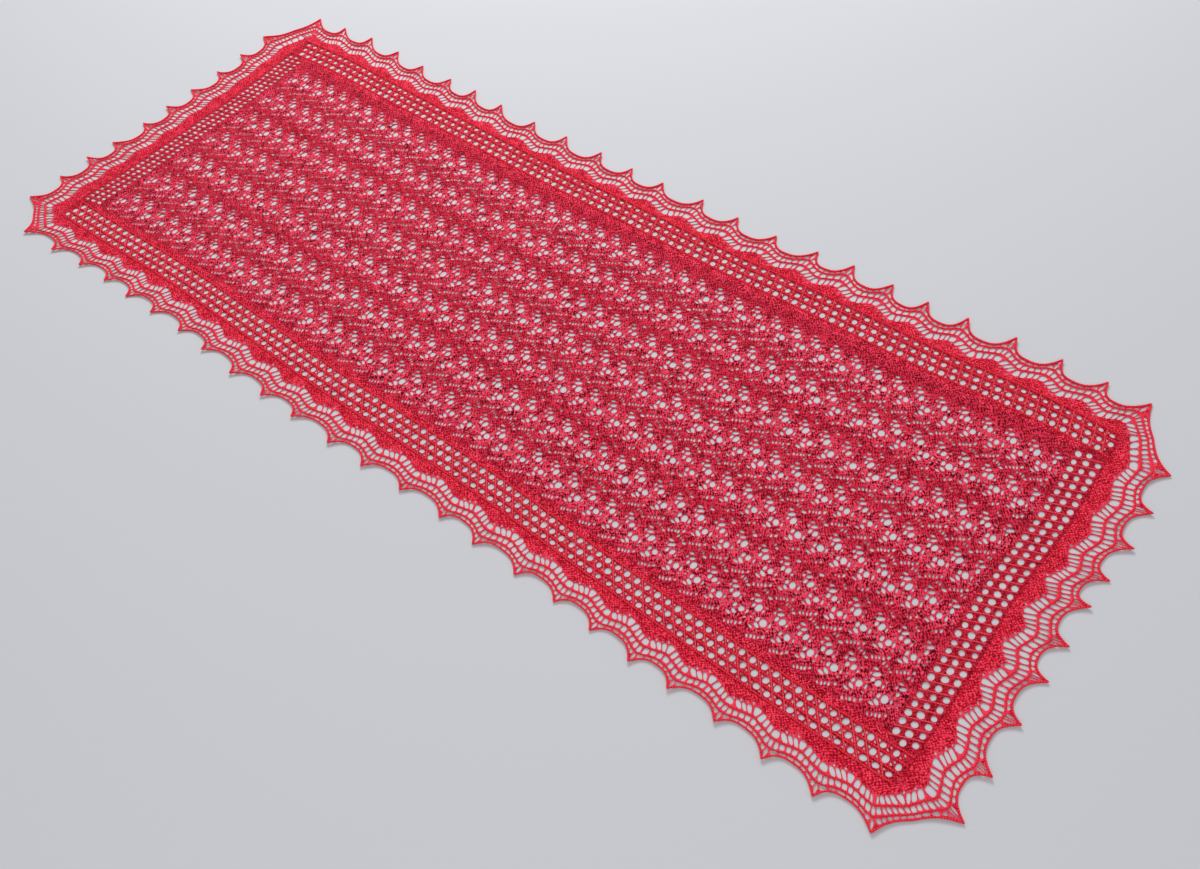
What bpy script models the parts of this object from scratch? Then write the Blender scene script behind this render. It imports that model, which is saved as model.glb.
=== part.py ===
"""A hand-knitted rectangular lace stole, blocked to size and lying flat.

The stole is laid out in its own flat plan first, with u along its length and v across it. The
blocking map then moves every point of that plan to where the pinned cloth really lies. It is built
in the order it is knitted: the centre panel, the border round it and the pointed edging.
Metres, +Z up, underside at z = 0, origin at the middle of the underside.
"""

import math
from typing import NamedTuple

import bmesh
import bpy
from mathutils import Vector
from mathutils.geometry import delaunay_2d_cdt

# ---------------------------------------------------------------- driving dimensions
HALF_LENGTH = 0.895          # middle to the points of the right end
HALF_WIDTH = 0.348           # middle to the points of the front edge
LEFT_HALF_LENGTH = 0.899     # middle to the points of the left end
FAR_HALF_WIDTH = 0.3515      # middle to the points of the far edge
BORDER_HALF_LENGTH = 0.817   # middle to the seam of border and edging, along
BORDER_HALF_WIDTH = 0.287    # middle to the seam of border and edging, across
PANEL_HALF_LENGTH = 0.772    # middle to the seam of panel and border, along
PANEL_HALF_WIDTH = 0.233     # middle to the seam of panel and border, across
SEAM = 0.0003                # gap between neighbouring pieces

SHEET = 0.0014               # thickness of the knitted cloth
RIDGE = 0.0009               # how far a ridge of the border stands above the cloth
WAVE_RIDGE = 0.0007          # how far a ridge between two lace waves stands above the cloth
CORD = 0.0010                # how far the bind-off cord stands above the cloth
GARTER = 0.0004              # how far solid garter stands above the cloth

FOOT_DRAW = 0.955            # the feet of the points draw in towards the middle by this share
LONG_SEAM_STEPS = 25         # straight stretches of a long seam
END_SEAM_STEPS = 9           # straight stretches of an end seam, between the long borders
BORDER_END_STEP = 0.260      # where the seam at a long border's own end turns, from the middle

WAVES = 7                    # lace waves across the centre panel
WAVE_PITCH = 0.0648
REPEATS = 45                 # motifs along each wave
REPEAT_PITCH = 0.0341
EYELET_U = 0.0042            # half width of a motif's largest eyelet
EYELET_V = 0.0054            # half height of a motif's largest eyelet
EYELET_SIDES = 6
EYELET_BELOW = 0.0075        # the large eyelet lies this far below its wave's middle
WHOLE_EYELET_EVERY = 3       # one motif in this many keeps its large eyelet closed
FLAT_BELOW = 0.018           # thin lace lies level this far below a wave's middle
FLAT_ABOVE = 0.014           # and this far above it
WAVE_LINE_CLEAR = 0.006      # the panel's relief stops this far inside its ends
EDGE_RIDGE_CLEAR = 0.009     # and its outer ridges lie this far inside its sides

MESH_ROWS = (0.2510, 0.2642, 0.2776)      # eyelet rows of the long borders, from the middle
MESH_RIDGES = (0.2445, 0.2576, 0.2710, 0.2846)
MESH_LINE_POINTS = 15        # points along one ridge or row of a long border
MESH_RIDGE_CLEAR = 0.004     # a long border's ridges stop this far inside its ends
MESH_ROW_CLEAR = 0.007       # and its rows this far
END_MESH_FROM = 0.7765       # the end border's ribs run from here
END_MESH_TO = 0.8145         # to here
END_RIBS = 34
END_RIB_PITCH = 0.0140
END_RIB_CLEAR = 0.003        # no rib lies nearer than this to the end border's sides

ARC_STEPS = (0.0, 0.05, 0.14, 0.29, 0.5, 0.71, 0.86, 0.95)   # points along one scallop's arc
CORNER_ARC_DEPTH = 0.205     # depth of a corner scallop's arc, as a share of the edging's depth
CORNER_FAN = 0.842           # how deep a corner scallop's fan reaches, same share
CORD_INSET = 0.035           # the cord's crest inside the edge, as a share of the edging's depth
TIP_INSET = 0.050            # how much deeper the crest lies at a sharp point, same share
CREST_END_INSET = 0.25       # the crest's end points draw in by this share of their spacing
WANDER_ALONG = 0.0040        # how far the hand-pinned points stray along their edge
WANDER_ALONG_BEAT = 2.4      # how quickly they do so from one point to the next, in radians
WANDER_ALONG_START = 1.9     # and how much later on each following side
WANDER_OUT = 0.0022          # how far they stray in and out
WANDER_OUT_BEAT = 1.7
WANDER_OUT_START = 0.8
WANDER_OUT_FIRST = 0.6
APEX_DEPTH = 0.66            # the garter triangle's apex under a point
ROOT_DEPTH = 0.90            # the other end of the garter's crest, near the border
FAN_CELL_BELOW = 0.077       # the middle of the fan's largest cell lies this far below its top
FAN_CELL_DEEPEST = 0.845     # and never deeper than this, clear of the border's seam
FAN_CELL_HALF_WIDTH = 0.0043
FAN_CELL_HALF_DEPTH = 0.0062
FAN_CELL_SIDES = 8


class Blocking(NamedTuple):
    """How the pinned cloth lies off its plan, at one place along its length.

    The front edge, middle line and far edge lie towards +Y by the first three. The points of the
    front and far edging are pulled towards +X by the two drifts, and their feet by the two columns
    after. Their fans of loops reach as deep as the last two, as shares of the edging's depth.
    """

    along: float
    front: float
    middle: float
    far: float
    front_drift: float
    far_drift: float
    front_feet: float
    far_feet: float
    front_fan: float
    far_fan: float


class EndBlocking(NamedTuple):
    """How the pinned ends lie off their plan, at one place across the width.

    The two ends lie towards +X by the first two. Their points, feet and fans are as above, with
    drifts towards +Y.
    """

    across: float
    left: float
    right: float
    left_drift: float
    right_drift: float
    left_feet: float
    right_feet: float
    left_fan: float
    right_fan: float


BLOCKING = (
    Blocking(-0.90, 0.006, 0.007, -0.006, 0.004, -0.001, 0.014, -0.004, 0.84, 0.82),
    Blocking(-0.72, 0.010, 0.007, 0.007, 0.019, -0.012, 0.004, -0.010, 0.92, 0.91),
    Blocking(-0.54, 0.016, 0.007, 0.001, 0.000, 0.000, -0.009, -0.017, 0.91, 0.95),
    Blocking(-0.36, 0.012, 0.004, -0.004, -0.010, -0.008, -0.011, -0.010, 0.92, 0.95),
    Blocking(-0.18, 0.004, 0.001, -0.008, -0.007, 0.013, 0.000, 0.007, 0.90, 0.95),
    Blocking(0.00, 0.006, -0.001, -0.005, 0.003, 0.011, 0.002, 0.012, 0.88, 0.95),
    Blocking(0.18, 0.006, -0.004, -0.005, 0.010, 0.024, 0.015, 0.026, 0.90, 0.95),
    Blocking(0.36, 0.000, -0.010, 0.006, 0.010, 0.021, 0.023, 0.032, 0.89, 0.95),
    Blocking(0.54, -0.007, -0.009, 0.007, -0.008, 0.006, 0.015, 0.028, 0.91, 0.95),
    Blocking(0.72, -0.011, -0.004, 0.015, -0.009, 0.012, 0.009, 0.026, 0.86, 0.95),
    Blocking(0.90, -0.008, -0.001, 0.004, -0.001, -0.002, -0.012, -0.008, 0.80, 0.92),
)

END_BLOCKING = (
    EndBlocking(-0.36, -0.007, 0.008, -0.004, 0.003, 0.000, -0.004, 0.842, 0.85),
    EndBlocking(-0.24, -0.006, 0.011, 0.002, 0.001, 0.000, 0.008, 0.842, 0.86),
    EndBlocking(-0.12, 0.005, 0.007, -0.005, 0.017, 0.000, 0.002, 0.842, 0.90),
    EndBlocking(0.00, 0.011, -0.001, -0.007, 0.011, 0.000, -0.006, 0.842, 0.89),
    EndBlocking(0.12, 0.015, 0.001, -0.009, -0.006, 0.000, -0.022, 0.842, 0.85),
    EndBlocking(0.24, 0.011, -0.007, -0.003, -0.009, 0.000, -0.018, 0.842, 0.80),
    EndBlocking(0.36, 0.008, -0.012, 0.002, 0.013, 0.000, 0.000, 0.842, 0.80),
)


class Side(NamedTuple):
    """One side of the edging, seen with the stole turned so that this side is at the front.

    Its arcs' depth is a share of the edging's depth. Its edge is the first word of its blocking
    columns, and its heading is -1 where it runs against the blocking table's places.
    """

    name: str
    scallops: int
    first_tip: float
    last_tip: float
    tips_out: float
    feet_out: float
    arc: float
    edge: str
    heading: float

    def blocking(self, measure, place):
        """One of this side's own blocking columns, at a place along it."""
        table = BLOCKING if self.edge in ("front", "far") else END_BLOCKING
        return eased(table, f"{self.edge}_{measure}", self.heading * place)


SIDES = (
    Side("edging_front", 24, -0.840, 0.830, HALF_WIDTH, BORDER_HALF_WIDTH, 0.31, "front", 1.0),
    Side("edging_right", 9, -0.280, 0.270, HALF_LENGTH, BORDER_HALF_LENGTH, 0.30, "right", 1.0),
    Side("edging_far", 24, -0.822, 0.836, FAR_HALF_WIDTH, BORDER_HALF_WIDTH, 0.40, "far", -1.0),
    Side("edging_left", 9, -0.252, 0.290, LEFT_HALF_LENGTH, BORDER_HALF_LENGTH, 0.31, "left", -1.0),
)

# ---------------------------------------------------------------- the blocking map


def eased(table, column, at):
    """One column of a blocking table at a place, on a smooth curve through its rows."""
    stations = [row[0] for row in table]
    values = [getattr(row, column) for row in table]
    at = min(max(at, stations[0]), stations[-1])
    upper = next(index for index in range(1, len(stations)) if at <= stations[index])
    lower = upper - 1
    before = values[max(lower - 1, 0)]
    after = values[min(upper + 1, len(values) - 1)]
    share = (at - stations[lower]) / (stations[upper] - stations[lower])
    start, end = values[lower], values[upper]
    rise = (end - before) / 2.0
    fall = (after - start) / 2.0
    square = share * share
    cube = square * share
    return (
        start * (2.0 * cube - 3.0 * square + 1.0)
        + rise * (cube - 2.0 * square + share)
        + end * (3.0 * square - 2.0 * cube)
        + fall * (cube - square)
    )


def blocked(u, v):
    """The place on the floor of the plan's point (u, v), before the whole is centred."""
    across = v / HALF_WIDTH
    along = u / HALF_LENGTH
    front = eased(BLOCKING, "front", u)
    middle = eased(BLOCKING, "middle", u)
    far = eased(BLOCKING, "far", u)
    left = eased(END_BLOCKING, "left", v)
    right = eased(END_BLOCKING, "right", v)
    side_shift = middle + across * (far - front) / 2.0 + across**2 * ((far + front) / 2.0 - middle)
    end_shift = (left * (1.0 - along) + right * (1.0 + along)) / 2.0
    return u + end_shift, v + side_shift


# ---------------------------------------------------------------- the ring of scallops


class Scallop(NamedTuple):
    """One scallop: its two points, the feet below them, its corner if it has one, and two depths.

    The depths of its arc and of its fan of loops are shares of the edging's depth.
    """

    start_tip: Vector
    end_tip: Vector
    start_foot: Vector
    end_foot: Vector
    corner: Vector | None
    arc: float
    fan: float


def point_row(side, turn):
    """Tips and feet of one side, in order, with the side's plan turned by quarter turns."""
    rows = []
    for index in range(side.scallops + 1):
        share = index / side.scallops
        place = side.first_tip + (side.last_tip - side.first_tip) * share
        swing_along = WANDER_ALONG_BEAT * index + WANDER_ALONG_START * turn
        swing_out = WANDER_OUT_BEAT * index + WANDER_OUT_START * turn + WANDER_OUT_FIRST
        wander_along = WANDER_ALONG * math.sin(swing_along) * math.sin(math.pi * share)
        wander_out = WANDER_OUT * math.sin(swing_out)
        tip_along = place + wander_along + side.heading * side.blocking("drift", place)
        foot_along = place * FOOT_DRAW + side.heading * side.blocking("feet", place * FOOT_DRAW)
        tip = Vector((tip_along, -(side.tips_out + wander_out)))
        foot = Vector((foot_along, -side.feet_out))
        rows.append((quarter_turned(tip, turn), quarter_turned(foot, turn)))
    return rows


def quarter_turned(point, turns):
    """A plan point turned counter-clockwise by quarter turns."""
    for _ in range(turns):
        point = Vector((-point.y, point.x))
    return point


def scallop_ring():
    """All scallops, counter-clockwise: front edge, corner, right end, corner, far edge, and so on."""
    rows_of = [point_row(side, turn) for turn, side in enumerate(SIDES)]
    corners = [
        Vector((BORDER_HALF_LENGTH, -BORDER_HALF_WIDTH)),
        Vector((BORDER_HALF_LENGTH, BORDER_HALF_WIDTH)),
        Vector((-BORDER_HALF_LENGTH, BORDER_HALF_WIDTH)),
        Vector((-BORDER_HALF_LENGTH, -BORDER_HALF_WIDTH)),
    ]
    ring = []
    for turn, (side, rows) in enumerate(zip(SIDES, rows_of)):
        following = rows_of[(turn + 1) % len(rows_of)]
        straight = []
        for index, (start, end) in enumerate(zip(rows, rows[1:])):
            share = (index + 0.5) / side.scallops
            fan = side.blocking("fan", side.first_tip + (side.last_tip - side.first_tip) * share)
            straight.append(Scallop(start[0], end[0], start[1], end[1], None, side.arc, fan))
        ends = (rows[-1][0], following[0][0], rows[-1][1], following[0][1])
        ring.append((straight, Scallop(*ends, corners[turn], CORNER_ARC_DEPTH, CORNER_FAN)))
    return ring


def foot_point(scallop, along):
    """A point of the scallop's foot line; a corner scallop's foot line turns at the corner."""
    if scallop.corner is None:
        return scallop.start_foot.lerp(scallop.end_foot, along)
    if along < 0.5:
        return scallop.start_foot.lerp(scallop.corner, 2.0 * along)
    return scallop.corner.lerp(scallop.end_foot, 2.0 * along - 1.0)


def edging_point(scallop, along, depth):
    """The plan point at a share along a scallop and a share of the edging's depth, 0 at the tips."""
    tip_line = scallop.start_tip.lerp(scallop.end_tip, along)
    return tip_line.lerp(foot_point(scallop, along), depth)


def arc_depth(scallop, along):
    """Depth of the scallop's outer edge: a sharp cusp at each tip and a round hollow between."""
    nearness = 1.0 - abs(2.0 * along - 1.0)
    return scallop.arc * (1.0 - (1.0 - nearness) ** 3)


# ---------------------------------------------------------------- turning a plan into a solid


class Plan:
    """The flat plan of one knitted piece: its outline, the gaps cut through it and its relief."""

    def __init__(self, outline):
        self.outline = [Vector(point) for point in outline]
        self.gaps = []
        self.relief = []

    def cut(self, gap):
        """Cut a convex gap through the cloth."""
        self.gaps.append([Vector(point) for point in gap])

    def raise_line(self, points, height):
        """Lay a line of relief on the top, at a height above the floor."""
        self.relief.append(([Vector(point) for point in points], height))


def loop_edges(first, count):
    """Edges of a closed loop of consecutive vertex numbers."""
    return [(first + index, first + (index + 1) % count) for index in range(count)]


def triangulated(loops, lines):
    """Triangles between the outline (the first loop), the gaps (the others) and open lines."""
    points = []
    edges = []
    owner = []
    for number, loop in enumerate(loops):
        edges += loop_edges(len(points), len(loop))
        points += loop
        owner += [number] * len(loop)
    for line in lines:
        edges += [(len(points) + index, len(points) + index + 1) for index in range(len(line) - 1)]
        points += line
        owner += [-1] * len(line)
    found, _, faces, origins, _, _ = delaunay_2d_cdt(points, edges, [], 1, 1e-7)
    if len(found) != len(points):
        raise ValueError("lines of the plan touch or cross")
    number_of = [origin[0] for origin in origins]
    triangles = []
    for face in faces:
        corners = [number_of[vertex] for vertex in face]
        owners = {owner[vertex] for vertex in corners}
        if len(owners) == 1 and owners.pop() > 0:
            continue
        triangles.append(corners)
    return points, triangles


def add_solid(name, plan, material):
    """Build one piece as a closed solid with a flat underside and its relief on top."""
    loops = [plan.outline] + plan.gaps
    lines = [points for points, _ in plan.relief]
    top_points, top_triangles = triangulated(loops, lines)
    _, bottom_triangles = triangulated(loops, [])

    rim_count = sum(len(loop) for loop in loops)
    heights = [SHEET] * rim_count
    for points, height in plan.relief:
        heights += [height] * len(points)

    builder = bmesh.new()
    top = []
    for point, height in zip(top_points, heights):
        x, y = blocked(point.x, point.y)
        top.append(builder.verts.new((x, y, height)))
    bottom = [builder.verts.new((vertex.co.x, vertex.co.y, 0.0)) for vertex in top[:rim_count]]

    for corners in top_triangles:
        builder.faces.new([top[index] for index in corners])
    for corners in bottom_triangles:
        builder.faces.new([bottom[index] for index in reversed(corners)])
    first = 0
    for loop in loops:
        for start, end in loop_edges(first, len(loop)):
            builder.faces.new((bottom[start], bottom[end], top[end]))
            builder.faces.new((bottom[start], top[end], top[start]))
        first += len(loop)
    bmesh.ops.recalc_face_normals(builder, faces=builder.faces)

    mesh = bpy.data.meshes.new(name)
    builder.to_mesh(mesh)
    builder.free()
    mesh.materials.append(material)
    piece = bpy.data.objects.new(name, mesh)
    bpy.context.collection.objects.link(piece)
    return piece


def round_gap(centre, half_u, half_v, sides):
    """A round or oval gap, clockwise so that its wall faces inward."""
    gap = []
    for index in range(sides):
        angle = -2.0 * math.pi * (index + 0.5) / sides
        gap.append(centre + Vector((half_u * math.cos(angle), half_v * math.sin(angle))))
    return gap


def spread(start, end, count):
    """Evenly spaced numbers from start to end, both included."""
    return [start + (end - start) * index / (count - 1) for index in range(count)]


def long_seam_places():
    """Places along a long side where the border and the edging share their points."""
    return spread(-BORDER_HALF_LENGTH, BORDER_HALF_LENGTH, LONG_SEAM_STEPS + 1)


def end_seam_places():
    """Places across an end where both borders and the edging share their points."""
    between = spread(-PANEL_HALF_WIDTH, PANEL_HALF_WIDTH, END_SEAM_STEPS + 1)
    before = [-BORDER_HALF_WIDTH, -BORDER_END_STEP]
    return before + between + [BORDER_END_STEP, BORDER_HALF_WIDTH]


# ---------------------------------------------------------------- the knitted pieces


def centre_panel(material):
    """The panel of lace waves, with the largest eyelet of two motifs in three cut through."""
    half_u = PANEL_HALF_LENGTH - SEAM / 2.0
    half_v = PANEL_HALF_WIDTH - SEAM / 2.0
    along = spread(-half_u, half_u, LONG_SEAM_STEPS + 1)
    across = spread(-half_v, half_v, END_SEAM_STEPS + 1)
    outline = [(u, -half_v) for u in along[:-1]] + [(half_u, v) for v in across[:-1]]
    outline += [(u, half_v) for u in reversed(along[1:])] + [(-half_u, v) for v in reversed(across[1:])]
    plan = Plan(outline)

    inner = spread(-half_u + WAVE_LINE_CLEAR, half_u - WAVE_LINE_CLEAR, LONG_SEAM_STEPS)
    for wave in range(WAVES):
        middle = (wave - (WAVES - 1) / 2.0) * WAVE_PITCH
        for repeat in range(REPEATS):
            if (repeat + wave) % WHOLE_EYELET_EVERY == WHOLE_EYELET_EVERY - 1:
                continue
            place = (repeat - (REPEATS - 1) / 2.0) * REPEAT_PITCH
            centre = Vector((place, middle - EYELET_BELOW))
            plan.cut(round_gap(centre, EYELET_U, EYELET_V, EYELET_SIDES))
        plan.raise_line([(u, middle - FLAT_BELOW) for u in inner], SHEET)
        plan.raise_line([(u, middle + FLAT_ABOVE) for u in inner], SHEET)
    outermost = half_v - EDGE_RIDGE_CLEAR
    for ridge in range(WAVES + 1):
        crest = min(max((ridge - WAVES / 2.0) * WAVE_PITCH, -outermost), outermost)
        plan.raise_line([(u, crest) for u in inner], SHEET + WAVE_RIDGE)
    return add_solid("centre_panel", plan, material)


def long_border(name, side, material):
    """A border strip along one long edge: a garter band and the ridges of the eyelet mesh."""
    inner = PANEL_HALF_WIDTH + SEAM / 2.0
    outer = BORDER_HALF_WIDTH - SEAM / 2.0
    end = BORDER_HALF_LENGTH - SEAM / 2.0
    outer_places = [-end] + long_seam_places()[1:-1] + [end]
    inner_places = [end] + spread(PANEL_HALF_LENGTH, -PANEL_HALF_LENGTH, LONG_SEAM_STEPS + 1) + [-end]
    outline = [(u, -outer) for u in outer_places] + [(end, -BORDER_END_STEP)]
    outline += [(u, -inner) for u in inner_places] + [(-end, -BORDER_END_STEP)]
    plan = Plan(outline)
    ridge_places = spread(-end + MESH_RIDGE_CLEAR, end - MESH_RIDGE_CLEAR, MESH_LINE_POINTS)
    row_places = spread(-end + MESH_ROW_CLEAR, end - MESH_ROW_CLEAR, MESH_LINE_POINTS)
    for ridge in MESH_RIDGES:
        plan.raise_line([(u, -ridge) for u in ridge_places], SHEET + RIDGE)
    for row in MESH_ROWS:
        plan.raise_line([(u, -row) for u in row_places], SHEET)
    return add_solid(name, turned(plan, side), material)


def end_border(name, side, material):
    """A border strip across one end: the ribs of its eyelet mesh run along the stole."""
    inner = PANEL_HALF_LENGTH + SEAM / 2.0
    outer = BORDER_HALF_LENGTH - SEAM / 2.0
    reach = PANEL_HALF_WIDTH - SEAM / 2.0
    places = spread(-reach, reach, END_SEAM_STEPS + 1)
    outline = [(outer, v) for v in places] + [(inner, v) for v in reversed(places)]
    plan = Plan(outline)
    for rib in range(END_RIBS):
        crest = (rib - (END_RIBS - 1) / 2.0) * END_RIB_PITCH
        trough = crest + END_RIB_PITCH / 2.0
        for place, height in ((crest, SHEET + RIDGE), (trough, SHEET)):
            if abs(place) < reach - END_RIB_CLEAR:
                plan.raise_line([(END_MESH_FROM, place), (END_MESH_TO, place)], height)
    return add_solid(name, turned(plan, side), material)


def turned(plan, half_turns):
    """The plan as it is, or turned by a half turn for the opposite side."""
    sign = -1.0 if half_turns else 1.0
    plan.outline = [sign * point for point in plan.outline]
    plan.gaps = [[sign * point for point in gap] for gap in plan.gaps]
    plan.relief = [([sign * point for point in points], height) for points, height in plan.relief]
    return plan


def edging(side, before, straight, after, material):
    """One side of the edging, from the middle of one corner scallop to the middle of the next."""
    stretch = [(before, 0.5, 1.0)] + [(scallop, 0.0, 1.0) for scallop in straight] + [(after, 0.0, 0.5)]
    outer = []
    crest = []
    for scallop, start, end in stretch:
        for along in ARC_STEPS:
            if start <= along < end or along == end:
                place = clear_of_mitre(scallop, along, start)
                depth = arc_depth(scallop, place)
                outer.append(edging_point(scallop, place, depth))
                crest.append(edging_point(scallop, place, depth + CORD_INSET + tip_inset(along)))
    plan = Plan(outer + inner_side(side)[::-1])
    plan.raise_line(inset_ends(crest), SHEET + CORD)
    for scallop in straight:
        plan.cut(fan_cell(scallop))
    for scallop in straight + [after]:
        apex = edging_point(scallop, 0.0, APEX_DEPTH)
        root = edging_point(scallop, 0.0, ROOT_DEPTH)
        plan.raise_line([apex, root], SHEET + GARTER)
    return add_solid(SIDES[side].name, plan, material)


def inner_side(side):
    """The edging's inner side, half a seam off the border and off the mitre lines at its ends."""
    lengthwise = side % 2 == 0
    places = long_seam_places() if lengthwise else end_seam_places()
    out = BORDER_HALF_WIDTH if lengthwise else BORDER_HALF_LENGTH
    last = len(places) - 1
    line = []
    for index, place in enumerate(places):
        if index in (0, last):
            place -= math.copysign(SEAM / 4.0, place)
        line.append(quarter_turned(Vector((place, -(out + SEAM / 2.0))), side))
    return line


def clear_of_mitre(scallop, along, start):
    """The share along a scallop, moved off the corner's mitre line by half a seam."""
    if scallop.corner is None or along != 0.5:
        return along
    width = (scallop.end_tip - scallop.start_tip).length
    shift = SEAM / 2.0 / width
    return along + shift if start == 0.5 else along - shift


def tip_inset(along):
    """The cord's crest lies deeper at a sharp tip than along the arc."""
    return TIP_INSET if along == 0.0 else 0.0


def inset_ends(points):
    """An open line kept clear of the mitre lines at its two ends."""
    first = points[0].lerp(points[1], CREST_END_INSET)
    last = points[-1].lerp(points[-2], CREST_END_INSET)
    return [first] + points[1:-1] + [last]


def fan_cell(scallop):
    """The largest gap of a scallop, in the middle of its fan of loops."""
    centre = edging_point(scallop, 0.5, min(scallop.fan - FAN_CELL_BELOW, FAN_CELL_DEEPEST))
    inward = (edging_point(scallop, 0.5, 1.0) - edging_point(scallop, 0.5, 0.0)).normalized()
    sideways = Vector((-inward.y, inward.x))
    gap = []
    for point in round_gap(Vector((0.0, 0.0)), FAN_CELL_HALF_WIDTH, FAN_CELL_HALF_DEPTH, FAN_CELL_SIDES):
        gap.append(centre + sideways * point.x + inward * point.y)
    return gap


# ---------------------------------------------------------------- materials and assembly


def yarn(name, red, green, blue):
    """A matt wool finish."""
    material = bpy.data.materials.new(name)
    material.use_nodes = True
    shader = material.node_tree.nodes["Principled BSDF"]
    shader.inputs["Base Color"].default_value = (red, green, blue, 1.0)
    shader.inputs["Roughness"].default_value = 0.85
    shader.inputs["Metallic"].default_value = 0.0
    return material


def centred(pieces):
    """Move the whole stole so that its box is centred on the origin."""
    xs = [vertex.co.x for piece in pieces for vertex in piece.data.vertices]
    ys = [vertex.co.y for piece in pieces for vertex in piece.data.vertices]
    shift = Vector(((min(xs) + max(xs)) / 2.0, (min(ys) + max(ys)) / 2.0, 0.0))
    for piece in pieces:
        for vertex in piece.data.vertices:
            vertex.co -= shift


def main():
    """Build the stole: panel, border and edging."""
    for existing in list(bpy.data.objects):
        bpy.data.objects.remove(existing, do_unlink=True)
    panel_yarn = yarn("panel_yarn", 0.62, 0.030, 0.050)
    border_yarn = yarn("border_yarn", 0.66, 0.035, 0.050)
    edging_yarn = yarn("edging_yarn", 0.72, 0.040, 0.050)

    pieces = [centre_panel(panel_yarn)]
    pieces.append(long_border("border_front", 0, border_yarn))
    pieces.append(long_border("border_far", 1, border_yarn))
    pieces.append(end_border("border_right", 0, border_yarn))
    pieces.append(end_border("border_left", 1, border_yarn))

    ring = scallop_ring()
    for side, (straight, after) in enumerate(ring):
        before = ring[side - 1][1]
        pieces.append(edging(side, before, straight, after, edging_yarn))
    centred(pieces)


main()
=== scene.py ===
"""A red hand-knitted lace stole, blocked into points and laid out flat on a pale studio floor.

Everything is laid out in the stole's own flat plan first, with u along its length and v across it.
The blocking map then moves each point to where the pinned cloth lies. Metres, +Z up.
"""

from __future__ import annotations

import logging
import math
from dataclasses import dataclass, field, fields
from enum import Enum
from typing import Any, Callable, Sequence

import bpy
import numpy as np
from mathutils import Matrix, Vector
from mathutils.geometry import delaunay_2d_cdt
from mathutils.kdtree import KDTree


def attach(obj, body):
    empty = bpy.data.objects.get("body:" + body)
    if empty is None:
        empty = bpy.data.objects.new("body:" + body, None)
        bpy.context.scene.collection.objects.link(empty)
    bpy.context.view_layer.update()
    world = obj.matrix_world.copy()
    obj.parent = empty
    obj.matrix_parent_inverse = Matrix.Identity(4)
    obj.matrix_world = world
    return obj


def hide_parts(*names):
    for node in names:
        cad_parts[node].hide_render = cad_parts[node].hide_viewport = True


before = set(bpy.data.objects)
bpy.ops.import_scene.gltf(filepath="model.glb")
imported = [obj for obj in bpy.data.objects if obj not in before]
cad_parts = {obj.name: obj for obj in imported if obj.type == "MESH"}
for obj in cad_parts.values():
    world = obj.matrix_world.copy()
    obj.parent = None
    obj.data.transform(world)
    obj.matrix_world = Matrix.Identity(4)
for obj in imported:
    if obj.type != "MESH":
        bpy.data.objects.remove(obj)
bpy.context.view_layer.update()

LOG = logging.getLogger("stole")
MM = 0.001
TAU = 2.0 * math.pi
BODY = "root"
KNIT_UV = "knit"
# The attribute that marks the rims of gaps, where the yarn gets a painted highlight and less painted shade.
RIM_HIGHLIGHT = "rim_highlight"

# The pitch of the panel's waves, and of the repeats along each wave.
WAVE_PITCH = 0.0648
REPEAT_PITCH = 0.0341

# How far apart the points of a seam lie, and how far off a gap's neighbours are looked for.
SEAM_STEP = 8.0 * MM
NEARBY = 15.0 * MM

# How far from a gap a loose point of relief stays.
RELIEF_CLEAR = 0.9 * MM

# The directions in which the reach of a gap is measured.
HEADING_ANGLES = np.arange(96) * TAU / 96
HEADINGS = np.column_stack((np.cos(HEADING_ANGLES), np.sin(HEADING_ANGLES)))

Colour = tuple[float, float, float, float]


# ---------------------------------------------------------------- sizes and blocking


@dataclass(frozen=True)
class ClothSize:
    """The driving sizes of the stole: half measures from its middle to each seam."""

    half_length: float = 0.895
    half_width: float = 0.348
    left_half_length: float = 0.899
    far_half_width: float = 0.3515
    border_half_length: float = 0.817
    border_half_width: float = 0.287
    panel_half_length: float = 0.772
    panel_half_width: float = 0.233
    foot_draw: float = 0.955
    thickness: float = 0.8 * MM


@dataclass(frozen=True)
class LongBlocking:
    """How the pinned cloth lies off its plan at one place along it.

    The edges and the middle line lie towards +Y by the first three, the points and their feet are
    pulled towards +X by the next four, and the fans reach to the last two, shares of the depth.
    """

    along: float
    front: float
    middle: float
    far: float
    front_drift: float
    far_drift: float
    front_feet: float
    far_feet: float
    front_fan: float
    far_fan: float


@dataclass(frozen=True)
class EndBlocking:
    """How the pinned ends lie off their plan at one place across it, by the same measures."""

    across: float
    left: float
    right: float
    left_drift: float
    right_drift: float
    left_feet: float
    right_feet: float
    left_fan: float
    right_fan: float


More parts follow.
